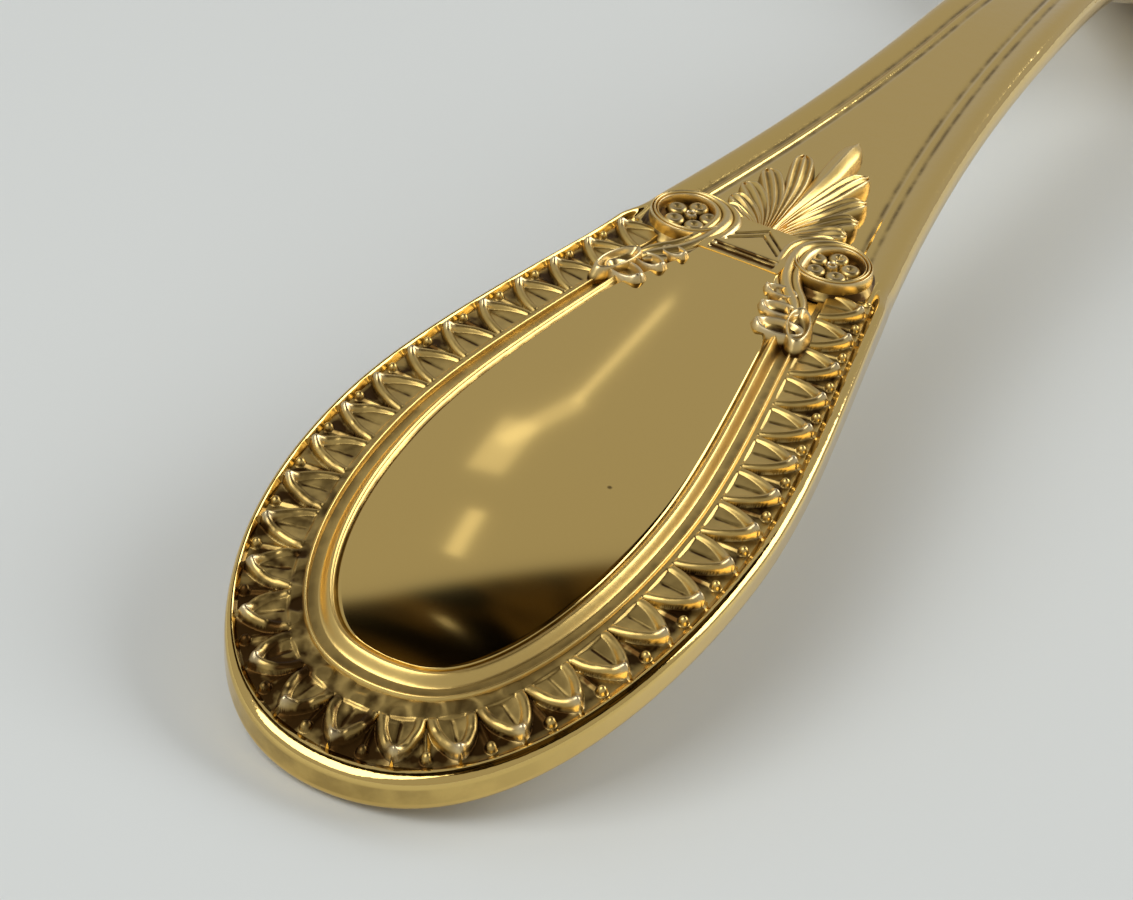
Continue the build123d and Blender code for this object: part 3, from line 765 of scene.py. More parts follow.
def handle_surface(lines):
    """Points, faces and painted shade of the handle: a trimmed left half and a mirrored right half, capped.
    """
    left, left_painted_shade = handle_half(lines, lines.left_trim)
    right, right_painted_shade = handle_half(lines, lines.left_trim * 0)
    loop = np.concatenate((right[:0:-1] * (1, -1, 1), left))
    painted_shade = np.concatenate((right_painted_shade[:0:-1], left_painted_shade))
    rows, columns = loop.shape[:2]
    j = np.arange(columns - 1)
    last = (rows - 1) * columns
    cap = grid_corners(j, j + 1, last + j + 1, last + j)
    return loop.reshape(-1, 3), np.concatenate((grid_quads(rows, columns), cap)), painted_shade.ravel()


def bowl_surface(lines):
    """Points and faces of the bowl with the neck's end.

    Across each place along the bowl, the inside is a round egg-shaped body sunk in the rim plane and the
    outside is a larger one. The neck's underside runs out into the outside by a rounded minimum.
    """
    h, bowl = lines.handle, lines.bowl
    half = bowl.width / 2
    lean_cos, lean_sin = math.cos(bowl.tilt), math.sin(bowl.tilt)
    middle_x, rim_z = bowl_place(bowl)

    def in_rim_plane(points):
        """Places along the bowl and over its rim plane."""
        x, z = points[:, 0] - middle_x, points[:, 2] - rim_z
        return x * lean_cos + z * lean_sin, z * lean_cos - x * lean_sin

    side_p, side_q = in_rim_plane(lines.world(lines.side_s, 0.0, 0.0))
    under_p, under_q = in_rim_plane(lines.world(lines.side_s, 0.0, -lines.side_metal))
    seam_p = np.interp(lines.neck_s, lines.side_s, side_p)

    def rim(angle):
        """Rim at an angle from the bowl tip: an ellipse that is longer in front."""
        long = np.where(np.cos(angle) > 0, bowl.front, bowl.back)
        return np.stack((long * np.cos(angle), half * np.sin(angle)), axis=-1)

    turn = np.radians(142)  # where the neck's flare meets the rim
    seam_pull, rim_pull = 7.4 * MM, 6.5 * MM
    along_rim = np.array((bowl.back * np.sin(turn), -half * np.cos(turn)))
    along_rim /= np.linalg.norm(along_rim)
    neck_half = h.neck_width / 2
    flare = bezier(
        [(seam_p, neck_half), (seam_p + seam_pull, neck_half), rim(turn) - along_rim * rim_pull, rim(turn)],
        np.linspace(0, 1, 400),
    )
    outline = np.concatenate((flare, rim(np.linspace(turn, 0, 900)[1:])))
    p, reach, k = across_outline(outline, 260, 121)
    y = k * reach
    inset = (1 - np.abs(k)) * reach
    ahead = np.clip(bowl.front - p, 0, None)
    inset = np.minimum(inset, np.where(p > 0, ahead + inset * 0.5, inset))

    def egg_depth(wall, floor):
        """Lower half of a round body, longer in front, that the rim plane cuts at the outline less a wall."""
        radius, lift = bowl_section(bowl, wall, floor)
        cut = (half - wall) / radius
        long = np.where(p > 0, bowl.front - wall, bowl.back - wall) / cut
        level = 1 - (p / long) ** 2 - (y / radius) ** 2
        return lift - radius * np.sqrt(np.clip(level, 0, None))

    neck = np.interp(p, side_p, side_q)
    land = np.where(p < -bowl.back, np.maximum(neck, 0), 0.0) * np.ones_like(y)
    neck_run, inside_ease = 6 * MM, 0.4 * MM
    near_bowl = ease(p, seam_p, neck_run)
    edge = NECK_EDGE + (bowl.lip - NECK_EDGE) * near_bowl
    top = soft_min(land, egg_depth(bowl.rim_wall, bowl.bottom_wall), inside_ease) - edge_drop(inset, edge)
    lip = 1.15 * bowl.lip
    heel_wall, heel_share = 40, 0.97
    outside = egg_depth(0, 0) * (1 - lip / bowl.depth) - lip
    outside = outside + heel_wall * np.clip(-bowl.back * heel_share - p, 0, None)
    drop_run, drop_bend = 2.5 * MM, 0.12 / MM
    spine_half, side_bend = 1.2 * MM, 0.1 / MM
    beyond = np.clip(p + bowl.back - drop_run, 0, None)
    past = np.clip(p - under_p[-1], 0, None)
    fall = np.interp(p, under_p, under_q) - past * math.tan(h.heel_slope + bowl.tilt)
    below = fall + edge_drop(inset, h.corner + h.neck_round) + drop_bend * beyond**2
    below = below + side_bend * near_bowl * np.clip(np.abs(y) - spine_half, 0, None) ** 2
    thinnest = 0.02 * MM
    bottom = np.minimum(soft_min(outside, below, bowl.blend), top - thinnest)

    def placed(q):
        """Heights over the rim plane as points in the world."""
        return grid_points(middle_x + p * lean_cos - q * lean_sin, y, rim_z + p * lean_sin + q * lean_cos)

    loop = np.concatenate((placed(top), placed(bottom)[:, ::-1]), axis=1)
    rows, columns = loop.shape[:2]
    j = np.arange(k.size - 1)
    cap = grid_corners(j, j + 1, columns - 2 - j, columns - 1 - j)
    return loop.reshape(-1, 3), np.concatenate((grid_quads(rows, columns, wrap=True), cap))


# Border, frame and plaque


def mottle(s, w):
    """Uneven field from 0 to 1 over the handle's plane: the mean of four sine waves that cross each other."""
    waves = ((4.1, 2.7), (-3.2, 4.9), (6.3, -1.6), (1.8, 7.2))
    return 0.5 + sum(np.sin((s * a + w * c) / MM) for a, c in waves) / (2 * len(waves))


def leaf_band(lines, start, end):
    """Strip of tongue leaves, beads and darts between two runs of leaf pitches, with its marks.

    A leaf's half width grows from its tip as (1 - (1 - a)^n)^0.8, with a from 0 at the tip to 1 at the base.
    A rolled edge follows that outline as half of an ellipse, and inside it the leaf sinks in a V to a fine
    cleft. Beads are half balls between the leaf tips, and a dart is a thin ridge that fades behind each bead.
    """
    b = lines.border
    rows_a_leaf = 70
    pitches = column(start, end, int(round((end - start) * rows_a_leaf)) + 1)
    inset = row(b.rim - 0.15 * MM, lines.frame_edge() + 0.1 * MM, 74)
    s, w = lines.border_place(pitches, inset)
    spacing = np.hypot(np.gradient(s, axis=0), np.gradient(w, axis=0)) / np.gradient(pitches[:, 0])[:, None]
    part = np.abs(pitches - np.round(pitches))
    across = part * spacing
    gap = (0.5 - part) * spacing
    deep = inset - b.rim + np.zeros_like(across)

    short_to = 4.0
    long = b.leaf_length * (1 - b.leaf_short * bell(pitches, short_to))
    grow = np.clip(deep / long, 0, 1)
    half = b.leaf_fill * spacing / 2 * (1 - (1 - grow) ** b.leaf_point) ** 0.8
    inside = (half - across) / np.hypot(1, np.gradient(half, inset[0], axis=1))
    in_hollow = inside > b.leaf_roll
    rolled = b.leaf_height + (b.leaf_foot - b.leaf_height) * grow
    roll = rolled * bump((inside - b.leaf_roll) / (1.25 * b.leaf_roll)) ** 0.8
    from_cleft = np.clip(across / np.maximum(half, 0.1 * MM), 0, 1)
    sink = b.leaf_floor + (0.85 * rolled - b.leaf_floor) * from_cleft**2
    cleft_width, cleft_depth = 0.07 * MM, 0.03 * MM
    cleft = bell(across, cleft_width) * ease(grow, 0.25, 0.2) * (1 - ease(grow, 0.85, 0.1))
    leaf = np.where(in_hollow, np.maximum(roll, sink) - cleft_depth * cleft, roll)
    knob_in, knob_size = 0.2 * MM, 0.22 * MM
    knob = bell(deep - knob_in, knob_size) * bell(across, knob_size)
    leaf = leaf + b.leaf_knob * knob

    bead = 1.5 * b.bead * bump(np.hypot(gap, deep - b.bead_in) / b.bead)
    dart_width, dart_end, dart_fade = 0.1 * MM, 1.0 * MM, 0.5 * MM
    dart = b.dart_height * bell(gap, dart_width) * ease(deep, b.bead_in, 0.2 * MM)
    dart = dart * (1 - ease(deep, dart_end, dart_fade))
    relief = np.maximum(np.maximum(leaf, bead), dart)
    collar = np.clip(ease(grow, 0.94, 0.06) + (deep > long), 0, 1)
    collar_height = b.collar_height * (1 - ease(s, COLLAR_END, COLLAR_FADE))
    relief = relief + (collar_height - relief) * collar
    tip_middle, tip_spread = 2.0, 6.0
    at_tip = bell(pitches - tip_middle, tip_spread)
    blotch = ease(mottle(s, w), 0.3, 0.4)
    relief = relief * (1 - 0.2 * at_tip * blotch) * (1 - ease(np.abs(pitches), LEAVES_END, 0.5))

    # Mark of tarnish and painted shade: painted shade in the leaf hollows, in the clefts and in the ground
    # between leaves, an even painted shade and tarnish over the band that grows at the tip and spares the
    # knobs, and blotchy tarnish at the tip that spares the high relief. The wear mark lies on the crests and
    # knobs.
    shaded_below, crest_height = 0.2 * MM, 0.34 * MM
    hollow = smooth((shaded_below - relief) / (0.18 * MM))
    ground = smooth((shaded_below - relief) / (0.1 * MM))
    low = np.where(inside > 0, hollow * (0.85 + 0.3 * at_tip), (1.1 + 0.4 * at_tip) * ground)
    low = np.maximum(low, (0.9 * cleft * in_hollow + 0.24 + 0.4 * at_tip) * (1 - knob))
    worn = 1 - 0.6 * ease(relief, 0.26 * MM, 0.1 * MM)
    low = np.maximum(low, at_tip * (0.6 + 0.7 * blotch) * worn)
    off_rim = at_tip + (1 - at_tip) * ease(deep, -0.05 * MM, 0.25 * MM)
    low = low * (1 - ease(np.abs(pitches), DARKENING_END, 0.4)) * off_rim
    crest = np.maximum(0.4 * ease(relief, crest_height, 0.1 * MM), 0.8 * knob)
    return lines.world(s, w, relief), low, crest


def frame_band(lines):
    """Mouldings round the plaque: a thin half-round ridge, a flat, then a band that climbs to a crest.

    The band's height follows an eased step to the crest, where a fine split runs, then dips to the plaque.
    """
    b = lines.border
    end = lines.pitches_at(FRAME_END)
    start = lines.frame_edge() - CLEARANCE
    inset = row(start, lines.plaque_edge() + 0.12 * MM, 84)
    s, w = lines.border_place(column(-end, end, 700), inset)
    at = inset - start - CLEARANCE
    ridge = b.ridge_height * bump((at - b.ridge / 2) / (b.ridge / 2))
    way = (at - b.ridge) / (b.channel + b.bevel)
    over_plaque, under_collar, dip, split_depth = 0.1 * MM, 0.08 * MM, 0.2 * MM, 0.035 * MM
    crown = lines.plaque_level(s) + over_plaque
    floor = b.collar_height - under_collar
    band = floor + (crown - floor) * ease(way, b.band_foot, b.band_crest - b.band_foot)
    band = band - dip * ease(way, b.band_crest, 1.1 - b.band_crest)
    split = split_depth * bell(way - b.band_split, 0.045)
    relief = np.maximum(ridge, np.where(way > -0.1, band - split, floor))
    # Painted shade and painted dark reflection in the channel behind the ridge, and painted shade along the
    # fine split and at the plaque's edge
    groove = 1 - ease(way, 0.1, 0.35) + 0.7 * bell(way - b.band_split, 0.04)
    low = 0.55 * groove * (way > 0) + 0.8 * ease(way, 0.97, 0.05)
    return lines.world(s, w, relief), low, 0.0


def plaque_surface(lines):
    """Smooth cartouche: its half width follows the border, and it rises to the lintel and swells midway."""
    b, scrolls = lines.border, lines.scrolls
    sides = np.linspace(0, lines.pitches_at(PLAQUE_SIDES_END), 500)
    sides = np.stack(lines.border_place(sides, lines.plaque_edge()), axis=1)
    lintel = np.array((scrolls.lintel_at, scrolls.lintel_width / 2 + 0.4 * MM))
    side_pull, lintel_pull = np.array((2.4, -0.35)) * MM, np.array((-2.2, 0.1)) * MM
    shoulder = bezier(
        [sides[-1], sides[-1] + side_pull, lintel + lintel_pull, lintel], np.linspace(0, 1, 120)[1:]
    )
    s, reach, k = across_outline(np.concatenate((sides, shoulder)), 240, 101)
    w = k * reach
    tip = sides[0, 0]
    swell_start, swell_half, edge_radius = 15 * MM, 5.2 * MM, 0.18 * MM
    ahead = np.clip((swell_start - s) / (swell_start - tip), 0, 1)
    swell = np.clip(1 - ahead**3, 0, None) * (1 - (w / swell_half) ** 2)
    inset = (1 - np.abs(k)) * reach
    inset = np.minimum(inset, s - tip + inset * 0.5)
    return lines.world(s, w, lines.plaque_level(s) + b.plaque_dome * swell - edge_drop(inset, edge_radius))


# Scrolls, palmette and lintel


def ribbon(lines, path, half, k, relief):
    """Strip carried along a plan path: for k from -1 to 1 it is offset by the normal times k half widths."""
    along = heading(path)
    return lines.world(path[:, :1] - along[:, 1:] * k * half, path[:, 1:] + along[:, :1] * k * half, relief)


def scroll_path(scrolls, sign):
    """S-scroll: a curve from the acanthus along the plaque's shoulder, then one turn round the volute."""
    middle = np.array((scrolls.volute_at, scrolls.volute_spread / 2))
    radius = scrolls.volute_radius - scrolls.ring_width / 2
    curl = np.array((scrolls.curl_at, scrolls.curl_spread / 2))
    ring = middle - (0, radius)
    pulls = np.array(((0.4, 0), (1.9, -0.3), (-3.2, 0.15), (-0.2, 0))) * MM
    lead = bezier(np.array((curl, curl, ring, ring)) + pulls, np.linspace(0, 1, 90))
    turn = np.linspace(0, 2 * np.pi, 240)[1:]
    spiral = middle + radius * np.stack((np.sin(turn), -np.cos(turn)), axis=1)
    return np.concatenate((lead, spiral)) * (1, sign)


def scroll_band(lines, sign):
    """Reeded ribbon on the scroll path; it narrows round the volute, and each reed is half of a sine wave."""
    scrolls = lines.scrolls
    path = scroll_path(scrolls, sign)
    run = run_of(path)[:, None]
    t = run / run[-1]
    narrow = ease(t, 0.34, 0.22)
    wide = scrolls.scroll_width / 2 * smooth(0.45 + t / 0.2)
    half = wide * (1 - narrow) + scrolls.ring_width / 2 * narrow
    k = row(-1, 1, 37)
    reed = np.abs(np.sin(np.pi * scrolls.reeds * (k + 1) / 2)) ** 0.7
    body = scrolls.volute_height * (0.8 + 0.2 * smooth(t / 0.3)) * bump(k**2)
    top = ribbon(lines, path, half, k, body * (0.8 + 0.2 * reed))
    # Painted shade with tarnish between the reeds and along the ribbon's edges; the wear mark lies on the
    # reeds' crests
    low = np.maximum(0.85 * (1 - smooth(reed / 0.5)), 0.9 * ease(np.abs(k), 0.8, 0.2))
    return top, low, 0.4 * ease(reed, 0.75, 0.25)


def rosette_disc(lines, sign):
    """Floor of a volute on a polar grid: a ring of round petals, a small ring boss and a sloped foot."""
    scrolls = lines.scrolls
    foot = 0.35 * MM
    inner = scrolls.volute_radius - scrolls.ring_width
    r = column(0, scrolls.volute_radius + foot, 70)
    turn = row(0, 2 * np.pi, 145)
    lobe = 2 * np.pi / scrolls.petals
    off = turn - np.round(turn / lobe) * lobe
    away = np.hypot(r * np.cos(off) - inner * 0.6, r * np.sin(off)) / scrolls.petal_radius
    petal_height, dent_depth, boss_at, boss_width = 0.34 * MM, 0.16 * MM, 0.18 * MM, 0.1 * MM
    petal = petal_height * bump(away) ** 0.8 - dent_depth * bell(away, 0.45)
    raised = np.maximum(petal, petal_height * bell(r - boss_at, boss_width))
    floor = scrolls.floor * (1 - ease(r, scrolls.volute_radius - 0.15 * MM, foot + 0.1 * MM))
    s = scrolls.volute_at + r * np.cos(turn)
    w = sign * (scrolls.volute_spread / 2 + r * np.sin(turn))
    # Painted shade with tarnish between and round the petals, over a light even mark on the whole disc
    low = 0.3 + 1.2 * (1 - smooth(raised / (0.24 * MM)))
    return lines.world(s, w, floor + raised), low, 0.8 * ease(raised, 0.2 * MM, 0.1 * MM)


def acanthus_curl(lines, sign):
    """End of a scroll: cupped lobes side by side, each smaller than the last, that hook onto the plaque.

    A lobe is an oval dish with a rolled edge. It rises towards its far end, where it falls off steeply.
    Behind them lies a longer oval loop along the scroll.
    """
    scrolls = lines.scrolls
    r, angle = column(0, 1, 30), row(0, 2 * np.pi, 73)

    def oval(middle, half_long, half_wide, turn, relief):
        """Oval patch on a polar grid, turned in the handle plane."""
        along, across = half_long * r * np.cos(angle), half_wide * r * np.sin(angle)
        s = middle[0] + along * math.cos(turn) - across * math.sin(turn)
        w = middle[1] + along * math.sin(turn) + across * math.cos(turn)
        return lines.world(s, w, relief)

    def darkening(floor, foot):
        """Painted shade and tarnish on a patch's floor and round its foot."""
        return 1.1 * (1 - ease(r, floor, 0.35)) + 1.2 * ease(r, foot, 0.1)

    ahead = r * np.cos(angle)
    side = scrolls.curl_height * bump(np.clip((r - 0.66) / 0.34, 0, 1)) ** 0.6
    dish = side * (0.52 + 0.2 * ahead + 0.28 * bell(r - 0.68, 0.17) + 0.18 * bell(ahead - 0.78, 0.16))
    loop = side * (0.5 + 0.35 * bell(r - 0.72, 0.16))
    rolled = bell(r - 0.7, 0.16)

    first = np.array((scrolls.curl_at - scrolls.curl_step * 0.75, sign * scrolls.curl_spread / 2))
    step = scrolls.curl_step * np.array((1, -sign * 0.42))
    facing = -sign * (math.pi / 2 + scrolls.curl_turn)
    behind = first + 0.55 * MM * np.array((1, sign))
    top = oval(behind, scrolls.curl_length * 0.62, scrolls.curl_width * 0.4, -sign * 0.3, loop)
    forms = [(top, darkening(0.2, 0.88), 0.5 * rolled)]
    for lobe in range(scrolls.curl_tips):
        half = scrolls.curl_shrink**lobe / 2
        top = oval(first + step * lobe, scrolls.curl_length * half, scrolls.curl_width * half, facing, dish)
        forms.append((top, darkening(0.15, 0.86), 0.7 * rolled))
    return forms


def palmette_leaf(lines, number):
    """One palmette leaf: a ribbon bent away from the middle line, with three flutes and a rolled tip.

    Each leaf is shorter than the one before by the same share and leans out by the same angle more.
    The middle leaf is folded along its length instead of fluted.
    """
    scrolls = lines.scrolls
    step = abs(number)
    reach = scrolls.palmette_length * scrolls.palmette_shrink**step
    lean = scrolls.palmette_turn * step
    root = np.array((scrolls.palmette_at, 0.07 * MM * step))
    tip = root + polar(reach, lean)
    t = np.linspace(0, 1, 80)
    root_pull, tip_pull = polar(reach * 0.5, lean * 0.45), polar(reach * 0.3, lean * 1.7)
    path = bezier([root, root + root_pull, tip - tip_pull, tip], t) * (1, -1 if number < 0 else 1)
    end = np.sqrt(np.clip(1 - np.clip((t - 0.84) / 0.16, 0, 1) ** 2, 0.01, 1))
    half = scrolls.palmette_leaf / 2 * (0.2 + 0.8 * smooth(t / 0.75)) * end
    k = row(-1, 1, 31)
    flute = 0.72 + 0.28 * np.cos(3 * np.pi * k) if step else 1 - 0.75 * np.abs(k)
    run = run_of(path)[:, None]
    run = run / run[-1]
    rolled = 0.62 + 0.06 * (scrolls.palmette_pairs - step) + 0.3 * ease(run, 0.6, 0.3)
    rolled = rolled - 0.25 * ease(run, 0.92, 0.08)
    depth = 0.45 * smooth(run / 0.2)
    relief = scrolls.palmette_height * rolled * bump(k**3) * (1 - depth + depth * flute)
    # Painted shade with tarnish in the flutes of the side leaves and along every leaf's edges
    low = 0.8 * smooth((0.62 - flute) / 0.2) * (step > 0)
    low = np.maximum(low, 0.95 * ease(np.abs(k), 0.8, 0.18))
    return ribbon(lines, path, half[:, None], k, relief), low, 0.35 * ease(flute, 0.8, 0.2)


def lintel_panel(lines):
    """Small panel between the scrolls: two straight cuts for the lintel, then two that form a chevron."""
    scrolls = lines.scrolls
    s = column(scrolls.lintel_at - 0.25 * MM, scrolls.palmette_at + 0.9 * MM, 140)
    panel_half, chevron_half = 1.8 * MM, 1.2 * MM
    w = row(-panel_half, panel_half, 81)
    at = s - scrolls.lintel_at
    on_lintel = np.abs(w) < scrolls.lintel_width / 2

    def cut(place):
        """Straight-sided groove: a bell of the fourth power."""
        return bell(place, 0.1 * MM, 4)

    first, chevron_at, chevron_step = 0.12 * MM, 2.4 * MM, 0.5 * MM
    bars = (cut(at - first) + cut(at - first - scrolls.lintel_cut)) * on_lintel
    chevron = at - chevron_at + np.abs(w) * 1.1
    ribs = (cut(chevron) + cut(chevron - chevron_step)) * (np.abs(w) < chevron_half)
    level = lines.plaque_level(scrolls.lintel_at) + lines.border.plaque_dome + 0.02 * MM
    fall, fall_run, bar_depth, rib_depth = 0.2 * MM, 3.2 * MM, 0.16 * MM, 0.12 * MM
    relief = level - fall * smooth(at / fall_run) - bar_depth * bars - rib_depth * ribs
    # Painted shadow across the lintel, over and between its two cuts but for a thin bar between them, and
    # painted shade in the chevron's cuts; both go into the tarnish-and-shade mark
    from_middle = at - first - scrolls.lintel_cut / 2
    shadow_half, bar_half = 0.38 * MM, 0.06 * MM
    shadow = bell(from_middle, shadow_half, 6) * on_lintel * (1 - bell(from_middle, bar_half))
    return lines.world(s, w, relief), 2 * shadow + 1.5 * ribs, 0.0


# Stage

LIT_PLACE = Vector((CAD_BOX[0][0] + 15.5 * MM, 0, 5 * MM))
CARD_WAY = Vector((0.0565, -0.2107, 0.976)).normalized()
CARD_EDGE = math.radians(0.7)

# Name, azimuth and elevation in degrees, distance, width and height in metres, radiance, lean in degrees
LAMPS = (
    ("left soft box", 150, 48, 0.8, (0.55, 0.55), 3.3, 0),
    ("right soft box", -42, 33, 0.9, (0.6, 0.5), 3.9, 0),
    ("window far", 26.0, 42.3, 0.6, (0.0046, 0.068), 0.8, 29),
    ("window middle", 30.6, 46.3, 0.6, (0.012, 0.049), 0.45, 57),
    ("window near", 33.4, 48.0, 0.6, (0.022, 0.046), 0.45, 30),
    ("window foot", 39.2, 56.2, 0.6, (0.01, 0.06), 0.65, 32),
    ("ceiling lamp", 52.3, 65.7, 0.6, (0.008, 0.009), 0.6, 0),
)


def lay_floor(scene, stage):
    """One large square at table height."""
    half = 3.0
    mesh = bpy.data.meshes.new("floor")
    corners = [(-half, -half, 0), (half, -half, 0), (half, half, 0), (-half, half, 0)]
    mesh.from_pydata(corners, [], [(0, 1, 2, 3)])
    material = bpy.data.materials.new("pale floor")
    material.use_nodes = True
    shader = material.node_tree.nodes["Principled BSDF"].inputs
    shader["Base Color"].default_value = (*stage.floor, 1)
    shader["Roughness"].default_value = 0.45
    shader["Specular IOR Level"].default_value = 0.3
    mesh.materials.append(material)
    floor = bpy.data.objects.new("floor", mesh)
    scene.collection.objects.link(floor)


def light_room(scene, stage):
    """Even room light, and a clouded dark card: the part of the sky within an angle of its middle."""
    world = bpy.data.worlds.new("studio room")
    world.use_nodes = True
    tree = world.node_tree
    way = node(tree, "ShaderNodeTexCoord")["Generated"]
    overhead = node(tree, "ShaderNodeVectorMath", way, CARD_WAY, operation="DOT_PRODUCT")["Value"]
    outer, inner = (math.cos(stage.shade_size + edge) for edge in (CARD_EDGE, -CARD_EDGE))
    under_card = ramp(tree, overhead, outer, inner, interpolation_type="SMOOTHSTEP")
    cloud = node(tree, "ShaderNodeTexNoise", Vector=way, Scale=8.0, Detail=2.0)["Fac"]
    card = mixed(tree, (*stage.shade, 1), (*stage.shade_light, 1), ramp(tree, cloud, 0.42, 0.6))
    fill(tree, tree.nodes["Background"].inputs["Color"], mixed(tree, (*stage.room, 1), card, under_card))
    scene.world = world


def hang_lamp(scene, name, azimuth, elevation, distance, size, radiance, lean):
    """Flat lamp facing the terminal, leaned about its beam; its power is radiance times pi times area."""
    across, up = polar(distance, math.radians(elevation))
    place = LIT_PLACE + Vector((*polar(across, math.radians(azimuth)), up))
    lamp = bpy.data.lights.new(name, "AREA")
    lamp.shape = "RECTANGLE"
    lamp.size, lamp.size_y = size
    lamp.energy = radiance * math.pi * size[0] * size[1]
    holder = bpy.data.objects.new(name, lamp)
    aim = (LIT_PLACE - place).to_track_quat("-Z", "Y").to_matrix().to_4x4()
    holder.matrix_world = Matrix.Translation(place) @ aim @ Matrix.Rotation(-math.radians(lean), 4, "Z")
    scene.collection.objects.link(holder)


def set_camera(scene, stage):
    """Camera aimed by its azimuth and elevation, then leaned by its roll about the line of sight."""
    lens = bpy.data.cameras.new("camera")
    lens.sensor_width = 36.0
    lens.lens = stage.lens
    lens.clip_start = 0.005
    camera = bpy.data.objects.new("camera", lens)
    turn = Euler((math.pi / 2 - stage.elevation, 0.0, stage.azimuth - math.pi / 2)).to_matrix().to_4x4()
    camera.matrix_world = Matrix.Translation(stage.place) @ turn @ Matrix.Rotation(stage.roll, 4, "Z")
    scene.collection.objects.link(camera)
    scene.camera = camera


# Operators


class TEASPOON_OT_handle(bpy.types.Operator):
    """Carry the handle's section along its edge"""

    bl_idname = "teaspoon.handle"
    bl_label = "Handle"

    def execute(self, context):
        points, faces, painted_shade = handle_surface(HandleLines(context.scene))
        threads = [f"{side}_{thread}" for thread in ("thread", "inner_thread") for side in ("left", "right")]
        nodes = ("terminal", "stem", "neck", "rim_moulding", *threads)
        # The painted shade and dark reflections go into the tarnish-and-shade mark; the handle carries no
        # wear
        marks = {"tarnish_and_shade": painted_shade * 0.7, "wear": painted_shade * 0}
        put_piece("handle_blank", points, faces, "rim gilt", nodes, marks)
        return {"FINISHED"}


class TEASPOON_OT_bowl(bpy.types.Operator):
    """Sink the egg-shaped bowl and run the neck out under it"""

    bl_idname = "teaspoon.bowl"
    bl_label = "Bowl"

    def execute(self, context):
        points, faces = bowl_surface(HandleLines(context.scene))
        put_piece("bowl_shell", points, faces, "polished gilt", ("bowl",))
        return {"FINISHED"}


class TEASPOON_OT_border(bpy.types.Operator):
    """Strike the leaves, beads and darts in three stretches"""

    bl_idname = "teaspoon.border"
    bl_label = "Leaf border"

    def execute(self, context):
        lines = HandleLines(context.scene)
        stretches = {
            "right_leaves": (-BORDER_END, -TIP_LEAVES_END),
            "tip_leaves": (-TIP_LEAVES_END, TIP_LEAVES_END),
            "left_leaves": (TIP_LEAVES_END, BORDER_END),
        }
        for name, ends in stretches.items():
            nodes = ("tongue_leaves", "beads", "darts") if name == "tip_leaves" else ()
            put_relief(lines, name, [leaf_band(lines, *ends)], nodes, depth=0.5 * MM)
        return {"FINISHED"}


class TEASPOON_OT_frame(bpy.types.Operator):
    """Carry the mouldings round the plaque"""

    bl_idname = "teaspoon.frame"
    bl_label = "Frame mouldings"

    def execute(self, context):
        lines = HandleLines(context.scene)
        nodes = ("frame_ridge", "frame_bevel")
        put_relief(lines, "frame_mouldings", [frame_band(lines)], nodes, depth=0.6 * MM)
        return {"FINISHED"}


class TEASPOON_OT_plaque(bpy.types.Operator):
    """Swell the smooth plaque"""

    bl_idname = "teaspoon.plaque"
    bl_label = "Plaque"

    def execute(self, context):
        lines = HandleLines(context.scene)
        depth = 0.6 * MM
        points, faces = banded(plaque_surface(lines), -depth * lines.up)
        put_piece("smooth_plaque", points, faces, "polished gilt", ("plaque",))
        return {"FINISHED"}


class TEASPOON_OT_scrolls(bpy.types.Operator):
    """Roll the reeded scrolls with their rosettes and acanthus ends"""

    bl_idname = "teaspoon.scrolls"
    bl_label = "Scrolls"

    def execute(self, context):
        lines = HandleLines(context.scene)
        for side, sign in {"left": 1, "right": -1}.items():
            pieces = {
                "scroll": ([scroll_band(lines, sign)], "volute"),
                "flower": ([rosette_disc(lines, sign)], "rosette"),
                "leaf_curl": (acanthus_curl(lines, sign), "acanthus"),
            }
            for piece, (forms, replaced) in pieces.items():
                put_relief(lines, f"{side}_{piece}", forms, (f"{side}_{replaced}",), depth=0.4 * MM)
        return {"FINISHED"}


class TEASPOON_OT_palmette(bpy.types.Operator):
    """Fan out the palmette's fluted leaves"""

    bl_idname = "teaspoon.palmette"
    bl_label = "Palmette"

    def execute(self, context):
        lines = HandleLines(context.scene)
        pairs = lines.scrolls.palmette_pairs
        leaves = [palmette_leaf(lines, number) for number in range(-pairs, pairs + 1)]
        put_relief(lines, "palmette_fan", leaves, ("palmette",), depth=0.4 * MM)
        return {"FINISHED"}


class TEASPOON_OT_lintel(bpy.types.Operator):
    """Cut the lintel and the chevron over it"""

    bl_idname = "teaspoon.lintel"
    bl_label = "Lintel and bud"

    def execute(self, context):
        lines = HandleLines(context.scene)
        put_relief(lines, "lintel_and_bud", [lintel_panel(lines)], ("lintel", "bud"), depth=0.6 * MM)
        return {"FINISHED"}


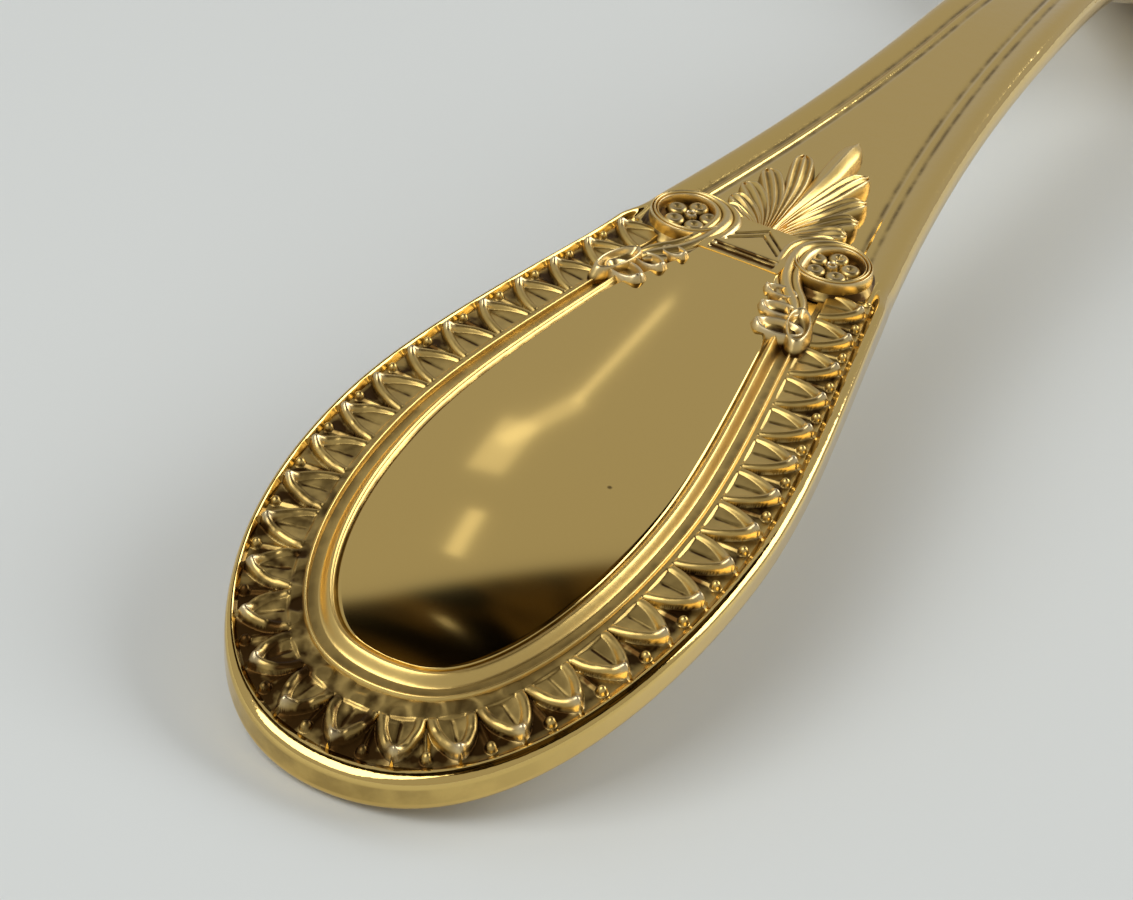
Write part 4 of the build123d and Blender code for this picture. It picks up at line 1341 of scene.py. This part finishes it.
class TEASPOON_OT_stage(bpy.types.Operator):
    """Lay the pale floor, light the room and set the camera"""

    bl_idname = "teaspoon.stage"
    bl_label = "Stage"

    def execute(self, context):
        scene = context.scene
        stage = scene.teaspoon_stage
        scene.view_settings.view_transform = "Standard"
        lay_floor(scene, stage)
        light_room(scene, stage)
        for lamp in LAMPS:
            hang_lamp(scene, *lamp)
        set_camera(scene, stage)
        return {"FINISHED"}


class TEASPOON_PT_panel(bpy.types.Panel):
    """Lists the teaspoon's settings and pieces"""

    bl_idname = "TEASPOON_PT_panel"
    bl_label = "Teaspoon"
    bl_space_type = "VIEW_3D"
    bl_region_type = "UI"
    bl_category = "Teaspoon"

    def draw(self, context):
        for name, group in SETTINGS.items():
            box = self.layout.box()
            for key in group.__annotations__:
                box.prop(getattr(context.scene, name), key)
        for operator in OPERATORS:
            self.layout.operator(operator.bl_idname)


SETTINGS = {
    "teaspoon_handle": TeaspoonHandle,
    "teaspoon_border": TeaspoonBorder,
    "teaspoon_scrolls": TeaspoonScrolls,
    "teaspoon_bowl": TeaspoonBowl,
    "teaspoon_finish": TeaspoonFinish,
    "teaspoon_stage": TeaspoonStage,
}
OPERATORS = (
    TEASPOON_OT_handle,
    TEASPOON_OT_bowl,
    TEASPOON_OT_border,
    TEASPOON_OT_frame,
    TEASPOON_OT_plaque,
    TEASPOON_OT_scrolls,
    TEASPOON_OT_palmette,
    TEASPOON_OT_lintel,
    TEASPOON_OT_stage,
)


def register():
    """Make the classes known and hang the settings on the scene."""
    for group in (*SETTINGS.values(), *OPERATORS, TEASPOON_PT_panel):
        bpy.utils.register_class(group)
    for name, group in SETTINGS.items():
        setattr(bpy.types.Scene, name, bpy.props.PointerProperty(type=group))


def unregister():
    """Take the settings and the classes away again."""
    for name in SETTINGS:
        delattr(bpy.types.Scene, name)
    for group in (TEASPOON_PT_panel, *reversed(OPERATORS), *reversed(SETTINGS.values())):
        bpy.utils.unregister_class(group)


def main():
    """Build every piece and the stage in order."""
    register()
    for operator in OPERATORS:
        getattr(bpy.ops.teaspoon, operator.bl_idname.split(".")[1])()


if __name__ == "__main__":
    main()
